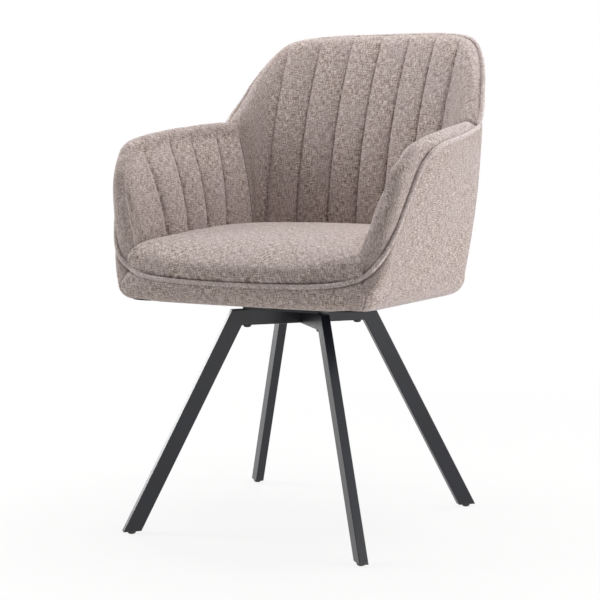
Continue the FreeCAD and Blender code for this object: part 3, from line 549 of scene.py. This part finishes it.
tips = [tip_station(*row) for row in TIPS]
arms = [arm_station(*row) for row in ARMS]
backs = [back_station(*row) for row in BACKS]
side = tips + arms + backs[-1:]
wings = len(backs) - 1 - BACK_CHANNELS
side_channels = [0] * (len(side) - 1 - ARM_CHANNELS) + [1] * ARM_CHANNELS
back_channels = [1] * BACK_CHANNELS + [0] * wings
side_run = filled(side, side_channels)
back_run = filled(across(backs), back_channels[::-1] + back_channels)
front_run = filled(across(half_front()), [0] * 2 * len(FRONTS))


# Profiles of the wall, as rows of (out, z) points

def arc_through(a, m, b, count):
    """Points on the circle through three points, from a, without the last."""
    ax, ay, bx, by = m[0] - a[0], m[1] - a[1], b[0] - a[0], b[1] - a[1]
    cross = 2 * (ax * by - ay * bx)
    if abs(cross) < 1e-6:
        return straight(a, b, count)
    al, bl = ax * ax + ay * ay, bx * bx + by * by
    cx, cy = (by * al - ay * bl) / cross, (ax * bl - bx * al) / cross
    radius = sqrt(cx * cx + cy * cy)
    start = atan2(-cy, -cx)
    middle = (atan2(ay - cy, ax - cx) - start) % (2 * pi)
    end = (atan2(by - cy, bx - cx) - start) % (2 * pi)
    turn = end if middle < end else end - 2 * pi
    return [(a[0] + cx + radius * cos(start + turn * k / count),
             a[1] + cy + radius * sin(start + turn * k / count)) for k in range(count)]


def straight(a, b, count):
    """Points on the line from a to b, without the last."""
    return [(mix(a[0], b[0], k / count), mix(a[1], b[1], k / count)) for k in range(count)]


SEAT_ROWS, WALL_ROWS, CREST_ROWS, BAND_ROWS = 6, 34, 10, 7
BELLY = (0.27, 0.5)          # the inner wall's middle: its share of the way out, and up
BAND_BOW = 0.07              # how far the band beside the piping swells, in its own widths
LIP_IN, LIP_DOWN = 0.6, 2.4  # the pad's edge, sewn in beside the piping


def pad_rows(s, roll):
    """Inner pad's outline: up the seat side, over the crest, down to the welt and back down."""
    seam_out, seam_z = s.seam
    crest_r, crest_z = s.crest
    roll_in, roll_down, roll_out, roll_fall = (s.fullness * far for far in roll)
    shoulder = (crest_r - roll_in, crest_z - roll_down)
    middle = (mix(s.inner, shoulder[0], BELLY[0]), mix(SEAT_LINE, shoulder[1], BELLY[1]))
    brow = (crest_r + roll_out, crest_z - roll_fall)
    lip = (seam_out - WELT / 2 + LIP_IN, seam_z + SEAM_HALF_GAP - LIP_DOWN)
    band = (mix(brow[0], lip[0], 0.5) + (brow[1] - lip[1]) * BAND_BOW,
            mix(brow[1], lip[1], 0.5) + (lip[0] - brow[0]) * BAND_BOW)
    throat = (seam_out - WELT - SLACK, seam_z - 1)
    panel_top = seam_z - PANEL_DROP + SLACK
    half_way = mix(PAD_BOTTOM, panel_top, 0.5)
    panel_near = (s.outer(panel_top) - PANEL_NEAR, panel_top)
    panel_far = (s.outer(panel_top) - PANEL_FAR, panel_top)
    foot, back_foot = (s.inner, PAD_BOTTOM), (s.foot - PANEL_FAR, PAD_BOTTOM)
    line = (s.inner, SEAT_LINE)
    rows = straight(foot, line, SEAT_ROWS)
    rows += arc_through(line, middle, shoulder, WALL_ROWS)
    rows += arc_through(shoulder, s.crest, brow, CREST_ROWS)
    rows += arc_through(brow, band, lip, BAND_ROWS)
    rows += straight(lip, throat, 3)
    rows += straight(throat, panel_near, 3)
    rows += straight(panel_near, panel_far, 2)
    rows += arc_through(panel_far, (s.outer(half_way) - PANEL_FAR, half_way), back_foot, 10)
    rows += straight(back_foot, foot, 3)
    return rows


HEM_ROWS, FACE_ROWS = 8, 30  # a cover's rounded lower edge, and its face up to the welt
COVER_TOP = HEM_ROWS + FACE_ROWS     # its top row; 3 rows later its inner side begins


def cover_rows(s, rise):
    """Outer cover's outline: from its turned-under hem up to the welt, and back inside."""
    top = s.seam[1] - SEAM_HALF_GAP + 1.6 + rise
    middle = mix(ROUND_TOP, top, 0.5)
    foot_x, foot_y = abs(s.x + s.dx * s.foot), s.y + s.dy * s.foot
    off_x = foot_x - FRONT_CORNER[0] - CORNER_OUT
    off_y = foot_y + FRONT_CORNER[1] + CORNER_OUT
    off = min(sqrt(off_x ** 2 + off_y ** 2) / LIFT_REACH, 1.0)
    low = SHELL_BOTTOM - BOTTOM_SLANT * (foot_y - HEM_LEVEL_AT) + CORNER_LIFT * (1 - off ** 2) ** 2
    turn = s.outer(ROUND_TOP) - BOTTOM_ROUND
    slant = sqrt(0.5)

    def rounded(radius, depth):
        return turn + radius * slant, mix(low + depth, ROUND_TOP, 1 - slant)

    def face(z, depth=0.0):
        return s.outer(z) - depth, z

    rows = arc_through((turn, low), rounded(BOTTOM_ROUND, 0.0), face(ROUND_TOP), HEM_ROWS)
    rows += arc_through(face(ROUND_TOP), face(middle), face(top), FACE_ROWS)
    rows += arc_through(face(top), (s.outer(top) - COVER / 2, top + 0.8), face(top, COVER), 3)
    rows += arc_through(face(top, COVER), face(middle, COVER), face(ROUND_TOP, COVER), 8)
    rows += arc_through(face(ROUND_TOP, COVER), rounded(BOTTOM_ROUND - COVER, COVER),
                        (turn, low + COVER), 4)
    rows += straight((turn, low + COVER), (turn, low), 2)
    return rows


# Cloth on a grid of columns (stations) and rows (profile)

# Where on the bolt each piece was cut, in millimetres, so no two show the same slubs
CUTS = {name: np.array([900.0 * k, 700.0 * k, 0.0]) for k, name in enumerate(
    ("channelled_back", "channelled_right_arm", "channelled_left_arm", "right_side_cloth",
     "left_side_cloth", "back_cloth", "front_cloth", "plump_seat"))}


def columns_of(run, rows_of):
    """A grid of points: one column for each station of the run, one row for each profile point."""
    return np.array([[s.at(*q) for q in rows_of(s)] for s, _, _ in run], float)


def smoothed(grid, rows, times, softness=np.ones(1)):
    """Eases the kinks along the profile over some rows, more in the softer columns."""
    low, high = rows
    share = 0.5 * softness[:, None, None]
    for _ in range(times):
        between = (grid[:, low - 1:high - 1] + grid[:, low + 1:high + 1]) / 2
        grid[:, low:high] += share * (between - grid[:, low:high])


def turned_out(grid):
    """1 where a grid's columns run so that its faces look outwards, else -1."""
    along = np.gradient(grid, axis=0)
    up = (np.roll(grid, -1, axis=1) - np.roll(grid, 1, axis=1)) / 2
    centre = grid.mean(axis=1, keepdims=True)
    return copysign(1.0, ((grid - centre) * np.cross(up, along)).sum())


def outward(grid):
    """Unit normals of a grid whose rows close on themselves, pointing out of the cloth."""
    along = np.gradient(grid, axis=0)
    up = (np.roll(grid, -1, axis=1) - np.roll(grid, 1, axis=1)) / 2
    normal = np.cross(up, along) * turned_out(grid)
    return normal / np.maximum(np.linalg.norm(normal, axis=2, keepdims=True), 1e-9)


def cloth_places(grid, anchor):
    """Millimetres across and along the cloth, for the weave, measured from one column."""
    steps = np.linalg.norm(np.diff(grid, axis=0), axis=2)
    across_mm = np.concatenate([np.zeros((1, grid.shape[1])), np.cumsum(steps, axis=0)])
    across_mm = across_mm - across_mm[anchor]
    along_mm = np.zeros(grid.shape[:2])
    along_mm[:, 1:] = np.cumsum(np.linalg.norm(np.diff(grid, axis=1), axis=2), axis=1)
    return np.stack([across_mm, along_mm, np.zeros_like(along_mm)], axis=2)


def closed_piece(name, grid, weave, ring=False):
    """A closed piece from a grid whose rows close on themselves, its ends shut or joined."""
    columns, rows = grid.shape[:2]
    faces = []
    for c in range(columns if ring else columns - 1):
        for r in range(rows):
            n, d = (r + 1) % rows, (c + 1) % columns
            faces.append((c * rows + r, d * rows + r, d * rows + n, c * rows + n))
    if not ring:
        faces.append(tuple(range(rows)))
        faces.append(tuple(range(columns * rows - 1, (columns - 1) * rows - 1, -1)))
    if turned_out(grid) > 0:
        faces = [face[::-1] for face in faces]
    mesh = bpy.data.meshes.new(name)
    mesh.from_pydata(settle(grid.reshape(-1, 3)).tolist(), [], faces)
    spot = mesh.attributes.new("cloth_mm", "FLOAT_VECTOR", "POINT")
    spot.data.foreach_set("vector", weave.reshape(-1))
    mesh.validate()
    piece = bpy.data.objects.new(name, mesh)
    bpy.context.scene.collection.objects.link(piece)
    for polygon in mesh.polygons:
        polygon.use_smooth = True
    return piece


def positions(mesh):
    """The mesh's points as an array, in metres."""
    co = np.zeros(len(mesh.vertices) * 3, np.float32)
    mesh.vertices.foreach_get("co", co)
    return co.reshape(-1, 3).astype(float)


STUFFING = 3.0               # pressure inside the pads
STUFFED_MOST = 4.0 * MM      # and how far it may move the cloth, in metres
STEPS = 20


def stuffed(piece, sewn):
    """Blows the piece up against its sewn points with a cloth simulation, and keeps that."""
    group = piece.vertex_groups.new(name="sewn")
    for weight in sorted(set(sewn.tolist())):
        if weight > 0:
            group.add([int(k) for k in np.where(sewn == weight)[0]], weight, "REPLACE")
    start = positions(piece.data)
    modifier = piece.modifiers.new("cloth", "CLOTH")
    settings = modifier.settings
    settings.quality = 6
    settings.mass = 0.3
    settings.tension_stiffness = 25.0
    settings.compression_stiffness = 12.0
    settings.shear_stiffness = 8.0
    settings.bending_stiffness = 1.2
    settings.air_damping = 2.0
    settings.use_pressure = True
    settings.uniform_pressure_force = STUFFING
    settings.vertex_group_mass = "sewn"
    settings.effector_weights.gravity = 0.0
    modifier.collision_settings.use_collision = False
    scene = bpy.context.scene
    scene.frame_start, scene.frame_end = 1, STEPS
    for step in range(1, STEPS + 1):
        scene.frame_set(step)
    ready = piece.evaluated_get(bpy.context.evaluated_depsgraph_get())
    after = positions(ready.data)
    piece.modifiers.remove(modifier)
    scene.frame_set(1)
    moved = after - start
    length = np.linalg.norm(moved, axis=1, keepdims=True)
    moved *= np.minimum(1.0, STUFFED_MOST / np.maximum(length, 1e-9))
    piece.data.vertices.foreach_set("co", (start + moved).reshape(-1))
    piece.data.update()


def finished(piece, slot, replaced, subdivisions=1):
    """Material, body and what the piece stands for."""
    piece.data.materials.append(finishes[slot])
    if subdivisions:
        smooth = piece.modifiers.new("smooth", "SUBSURF")
        smooth.levels = smooth.render_levels = subdivisions
    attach(piece, "seat")
    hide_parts(replaced)
    return piece


# Channelled pads: each channel bulges between two seams, which are drawn in

BESIDE_SEAM = 0.2            # how much the columns beside a seam are drawn in with it
WALL_END = SEAT_ROWS + WALL_ROWS     # a pad's row at its shoulder
CREST_END = WALL_END + CREST_ROWS    # and at its brow


def channel_swell(run, depth):
    """Per column: how far the stuffing stands up, and how hard the seam is drawn in."""
    swell = np.array([depth * (1 - abs(2 * t - 1) ** 3.2) if channel else 0.0
                      for _, t, channel in run])
    count = len(run)
    seam = np.zeros(count)
    for k, (s, t, channel) in enumerate(run):
        before = run[k - 1][2] if k else 0
        if t == 0.0 and (channel or before) and 0 < k < count - 1:
            seam[k] = 1.0
    return swell, seam


NOTCH_RISE = 90.0            # the rim's roll takes its width over this height above the notches


def rim_roll(s):
    """The rim's roll is wide, and narrows to the arms' at the notches."""
    share = min(1.0, max(0.0, (s.seam[1] - backs[-1].seam[1]) / NOTCH_RISE))
    return [hermite(share, a, b, 0.0, 0.0) for a, b in zip(ARM_ROLL, RIM_ROLL)]


def channelled_pad(name, node, run, roll_of, depth, ends_drawn, swell_rows, crease_rows,
                   left=False):
    """A pad along a run of stations. The rows' weights are given as rows and their values."""
    grid = columns_of(run, lambda s: pad_rows(s, roll_of(s)))
    if left:
        grid[..., 0] *= -1
    top = CREST_END + BAND_ROWS
    smoothed(grid, (SEAT_ROWS - 1, top - 1), 5)
    smoothed(grid, (SEAT_ROWS + 3, top - 3), 26, np.array([1 - s.fullness for s, _, _ in run]))
    normal = outward(grid)
    swell, seam = channel_swell(run, depth)
    weight = np.interp(np.arange(grid.shape[1]), *swell_rows)
    grid += normal * (swell[:, None] * weight[None, :])[..., None]
    visible = np.zeros(grid.shape[1])
    visible[SEAT_ROWS:top] = 1.0
    for column, far in ends_drawn:
        grid[column] -= normal[column] * (far * visible)[:, None]
    piece = closed_piece(name, grid, cloth_places(grid, len(grid) // 2) + CUTS[name])
    sewn = np.ones(grid.shape[:2])
    sewn[:, SEAT_ROWS - 2:top - 2] = 0.0
    sewn[seam > 0, :] = 1.0
    sewn[0] = sewn[-1] = 1.0
    stuffed(piece, sewn.reshape(-1))
    crease = seam * SEAM_DEPTH
    crease[1:] = np.maximum(crease[1:], seam[:-1] * SEAM_DEPTH * BESIDE_SEAM)
    crease[:-1] = np.maximum(crease[:-1], seam[1:] * SEAM_DEPTH * BESIDE_SEAM)
    weight = np.interp(np.arange(grid.shape[1]), *crease_rows)
    drawn = normal * (crease[:, None] * weight[None, :])[..., None] * MM
    place = positions(piece.data) - drawn.reshape(-1, 3)
    piece.data.vertices.foreach_set("co", place.reshape(-1))
    return finished(piece, "woven_fabric", node)


back_swells = ([0, SEAT_ROWS, SEAT_ROWS + 4, WALL_END, CREST_END, CREST_END + BAND_ROWS - 1,
                CREST_END + BAND_ROWS + 1], [0.3, 0.7, 1.0, 0.7, 0.15, 0.1, 0.0])
back_creases = ([0, SEAT_ROWS, WALL_END - 6, WALL_END, WALL_END + 4, CREST_END],
                [0.5, 1.0, 1.0, 0.55, 0.15, 0.05])
back_ends = [(0, 4.2), (1, 1.6), (-2, 1.6), (-1, 4.2)]
arm_swells = ([0, SEAT_ROWS, SEAT_ROWS + 4, WALL_END - 8, WALL_END + 2, CREST_END],
              [0.3, 0.7, 1.0, 0.9, 0.25, 0.0])
arm_creases = ([0, SEAT_ROWS, WALL_END - 16, WALL_END, WALL_END + 6], [0.5, 1.0, 1.0, 0.35, 0.0])
arm_ends = [(0, 0.5), (-1, 1.5)]
channelled_pad("channelled_back", "back_pad", back_run, rim_roll, CHANNEL_DEPTH, back_ends,
               back_swells, back_creases)
for side_name, left in (("right", False), ("left", True)):
    channelled_pad("channelled_" + side_name + "_arm", side_name + "_arm_pad", side_run,
                   lambda s: ARM_ROLL, ARM_CHANNEL_DEPTH, arm_ends, arm_swells, arm_creases, left)


# Outer covers: cloth over thin wadding, tacked under the shell and sewn up to the welts

RIPPLE, RIPPLE_WIDE = 1.1, 70.0      # the cloth's uneven pull: how deep, and how wide
SEWN_OVER = 0.8              # the covers' ends reach under each other, in column widths
END_IN = 0.6                 # and are drawn in a little


def rim_rise(s):
    """How far the rim's piping stands up past the seam: less towards the arms."""
    return RIM_RISE * min(1.0, max(0.15, (s.seam[1] - 700.0) / 70.0))


def cover(name, node, run, seed, left=False, rise_of=lambda s: 0.0):
    """A cover along a run of stations; the seed shifts its ripples."""
    grid = columns_of(run, lambda s: cover_rows(s, rise_of(s)))
    if left:
        grid[..., 0] *= -1
    grid[0] += SEWN_OVER * (grid[0] - grid[1])
    grid[-1] += SEWN_OVER * (grid[-1] - grid[-2])
    normal = outward(grid)
    columns, rows = grid.shape[:2]
    ripple = np.zeros((columns, rows))
    for c in range(columns):
        for r in range(2, COVER_TOP):
            spot = Vector(grid[c, r] / RIPPLE_WIDE) + Vector((seed, 0, 0))
            ripple[c, r] = RIPPLE * noise.noise(spot)
    ease = np.interp(np.arange(rows), [0, 4, 12, COVER_TOP - 8, COVER_TOP, COVER_TOP + 1],
                     [0, 0.6, 1, 1, 0.2, 0])
    tuck = np.interp(np.arange(rows), np.add(COVER_TOP, [-4, -1, 0, 2, 3]), [0, 1.7, 2.4, 1.0, 0])
    grid += normal * (ripple * ease - tuck)[..., None]
    ends = np.zeros(columns)
    ends[0] = ends[-1] = END_IN
    visible = np.interp(np.arange(rows), [0, 3, COVER_TOP - 2, COVER_TOP], [0, 1, 1, 0])
    grid -= normal * (ends[:, None] * visible[None, :])[..., None]
    weave = cloth_places(grid, len(grid) // 2) + CUTS[name]
    return finished(closed_piece(name, grid, weave), "woven_fabric", node)


cover("right_side_cloth", "right_side_cover", side_run, 3.0)
cover("left_side_cloth", "left_side_cover", side_run, 7.0, True)
cover("back_cloth", "back_cover", back_run, 11.0, rise_of=rim_rise)
cover("front_cloth", "front_cover", front_run, 17.0)


# Piping: bias-cut cloth round a cord

PIPING_STEP = 2.5
PIPING_SIDES = 14


def piping(name, node, path):
    """A round cord along a path of points."""
    points = np.array(path, float)
    lengths = np.concatenate([[0.0], np.cumsum(np.linalg.norm(np.diff(points, axis=0), axis=1))])
    count = int(lengths[-1] / PIPING_STEP)
    at = np.linspace(0, lengths[-1], count)
    points = np.stack([np.interp(at, lengths, points[:, k]) for k in range(3)], axis=1)
    for _ in range(16):
        points[1:-1] += 0.5 * ((points[:-2] + points[2:]) / 2 - points[1:-1])
    grid = np.zeros((count, PIPING_SIDES, 3))
    weave = np.zeros((count, PIPING_SIDES, 3))
    tangent = np.gradient(points, axis=0)
    tangent /= np.linalg.norm(tangent, axis=1, keepdims=True)
    sideways = np.cross(tangent, (0.0, 0.0, 1.0))
    sideways /= np.linalg.norm(sideways, axis=1, keepdims=True)
    up = np.cross(sideways, tangent)
    for k in range(PIPING_SIDES):
        turn = 2 * pi * k / PIPING_SIDES
        grid[:, k] = points + PIPING_RADIUS * (sideways * cos(turn) - up * sin(turn))
        around = PIPING_RADIUS * turn
        weave[:, k, 0] = (at + around) * sqrt(0.5)
        weave[:, k, 1] = (at - around) * sqrt(0.5)
    # the piping's cloth is painted lighter than the covers' as a painted highlight
    return finished(closed_piece(name, grid, weave), "welt_fabric", node, 0)


def welt_path(run, inwards=0.0, rise_of=lambda s: 0.0):
    """The piping's middle line along a run of stations."""
    return [s.at(s.seam[0] - WELT / 2 + PROUD - inwards, s.seam[1] + 0.5 + rise_of(s))
            for s, _, _ in run]


right_half = welt_path(front_run[len(front_run) // 2:] + side_run[1:])
left_half = [(-x, y, z) for x, y, z in right_half[:0:-1]]
piping("seat_piping", "seat_welt", left_half + right_half)
piping("rim_piping", "rim_welt", welt_path(back_run, 1.0, rim_rise)[1:-1])


# Seat cushion

# Its levels: up, how far the front reaches, the corner's out and ahead, and how far drawn in
CUSHION = [(0.0, -1.12, 0.10, 0.53, 0.0), (0.17, -0.56, 0.24, 0.58, 0.0),
           (0.325, 0.35, 0.46, 0.68, 0.0), (0.50, 0.9, 0.60, 0.74, 0.0),
           (0.67, 0.85, 0.50, 0.68, 0.0), (0.80, 0.45, 0.32, 0.58, 0.01),
           (0.885, -0.20, 0.16, 0.49, 0.04), (0.95, -0.80, 0.05, 0.42, 0.12),
           (0.99, -1.15, -0.02, 0.36, 0.30), (1.0, -1.25, -0.02, 0.36, 0.66)]
LEVELS_BETWEEN = 4
CUSHION_GAP = 0.6            # behind the cushion
SQUEEZED = 1.0               # how far its sides press into the arms' pads
TUCKED = 9.0                 # its front corners are pushed in under the arms' tips
TIP_NOTCH = (24.0, 16.0)     # where the tips press in, out and ahead of the corner's centre
SIDE_BEGINS = 4.0            # its straight sides begin this far behind the corner's centre
FRONT_REACH = 16.0           # unit of the column that says how far the front reaches
CUSHION_MIDDLE = -25.0       # the levels are drawn in towards here
FRONT_POINTS, SIDE_POINTS = 44, 40
HELD_BELOW = 455.0           # the cushion is glued down below this
REAR_FALL, SIDE_FALL, FRONT_FALL = 9.0, 4.0, 21.0    # how far its top sinks to its edges


def cushion_level(up, reach, out, along, drawn):
    """Plan of the cushion at one height, drawn in towards the middle of the seat."""
    z = mix(PAD_BOTTOM, SEAT_TOP, up)
    corner_x, corner_y = FRONT_CORNER
    corner = (corner_x + out * FRONT_ROUND + TUCKED, -corner_y - along * FRONT_ROUND)
    side_start = (SEAT_HALF_FRONT + SQUEEZED, SIDE_BEGINS - corner_y)
    side_end = (SEAT_HALF_BACK + SQUEEZED, rear_corner_reach - CUSHION_GAP)
    notch = (corner_x + TIP_NOTCH[0] + TUCKED, -corner_y - TIP_NOTCH[1])
    share = min(1.0, drawn * 8)
    notch = tuple(mix(n, (c + s) / 2, share) for n, c, s in zip(notch, corner, side_start))
    right = [corner, notch, side_start, side_end]
    left = [(-x, y) for x, y in right]
    counts = (4, 3, SIDE_POINTS)
    front = (0, -corner_y - FRONT_ROUND - reach * FRONT_REACH)
    plan = arc_through(left[0], front, right[0], FRONT_POINTS)
    for k in (0, 1, 2):
        plan += straight(right[k], right[k + 1], counts[k])
    plan += arc_through(right[3], (0, SEAT_BACK_REACH - CUSHION_GAP), left[3], FRONT_POINTS)
    for k in (2, 1, 0):
        plan += straight(left[k + 1], left[k], counts[k])
    return [(x * (1 - drawn), mix(y, CUSHION_MIDDLE, drawn), z) for x, y in plan]


def seat_cushion():
    """The cushion, stuffed, then sunk to the back and rolled down in front."""
    last = len(CUSHION) - 1
    levels = []
    for k in range(last):
        rows = [CUSHION[j] for j in (max(k - 1, 0), k, k + 1, min(k + 2, last))]
        for i in range(LEVELS_BETWEEN):
            levels.append([hermite(i / LEVELS_BETWEEN, b, c, (c - a) / 2, (d - b) / 2)
                           for a, b, c, d in zip(*rows)])
    levels.append(CUSHION[last])
    grid = np.array([cushion_level(*row) for row in levels])
    piece = closed_piece("plump_seat", grid, np.zeros_like(grid))
    remesh = piece.modifiers.new("remesh", "REMESH")
    remesh.mode = "VOXEL"
    remesh.voxel_size = 5.5 * MM
    shaped = piece.evaluated_get(bpy.context.evaluated_depsgraph_get())
    ready = bpy.data.meshes.new_from_object(shaped)
    piece.modifiers.clear()
    piece.data = ready
    ready.name = "plump_seat"
    held = positions(ready)[:, 2] < HELD_BELOW * MM
    stuffed(piece, held.astype(float))
    x, y, z = positions(ready).T
    ahead = y + AXIS_AHEAD * MM
    behind = np.maximum(ahead, 0.0) / 0.205
    fall = REAR_FALL * behind ** 1.5 + SIDE_FALL * (x / 0.2) ** 2
    z = z - fall * MM * np.clip((z - 0.48) / 0.05, 0.0, 1.0)
    waterfall = FRONT_FALL * (np.maximum(-0.025 - ahead, 0.0) / 0.18) ** 2
    waterfall *= 1.0 - np.minimum(np.abs(x) / 0.215, 1.0) ** 4
    z = z - waterfall * MM * np.clip((z - 0.455) / 0.078, 0.0, 1.0)
    ready.vertices.foreach_set("co", np.stack([x, y, z], axis=1).reshape(-1))
    over_edge = (z - SEAT_TOP * MM) * (y < 0.1)
    weave = np.stack([x, y + over_edge, z * 0], axis=1) / MM + CUTS["plump_seat"]
    spot = ready.attributes.new("cloth_mm", "FLOAT_VECTOR", "POINT")
    spot.data.foreach_set("vector", weave.reshape(-1))
    for polygon in ready.polygons:
        polygon.use_smooth = True
    return finished(piece, "woven_fabric", "seat_cushion")


seat_cushion()


# Dust cover under the seat

PUCKER, SAG, WAVE = 0.35, 1.4, 0.5   # at the staples, between them, and over all
DUST_SHARES = (0.0, 0.03, 0.1, 0.2, 0.32, 0.45, 0.58, 0.7, 0.8, 0.88, 0.94, 0.975, 1.0)


def dust_cover(name):
    """Black cloth stretched under the seat board, with a square cut for the swivel."""
    low, high = (np.array(corner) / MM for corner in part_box("dust_cover"))
    grid = []
    for k in range(STAPLES * 6):
        turn = 2 * pi * (k + 0.5) / (STAPLES * 6)
        dx, dy = cos(turn), sin(turn)
        inner = DUST_OPENING / max(abs(dx), abs(dy))
        outer = reach_to_outline(0.0, 0.0, dx, dy) - DUST_HEM
        pucker = PUCKER * cos(STAPLES * turn)
        under, over = [], []
        for share in DUST_SHARES:
            reach = mix(inner, outer, share)
            x, y = dx * reach, dy * reach
            sag = SAG * sin(pi * share) + pucker * share ** 4 - 0.25 * (share in (0.0, 1.0))
            wave = WAVE * noise.noise(Vector((x / 60, y / 60, 3.0))) * sin(pi * share)
            under.append((x, y, low[2] + 0.4 - sag + wave))
            over.append((x, y, low[2] + 1.0 - sag + wave))
        grid.append(under + over[::-1])
    grid = np.array(grid)
    piece = closed_piece(name, grid, grid.copy(), ring=True)
    x, y = grid[:, len(DUST_SHARES) - 1, :2].T
    return finished(piece, "dust_cloth", "dust_cover", 0)


dust_cover("dust_cloth")
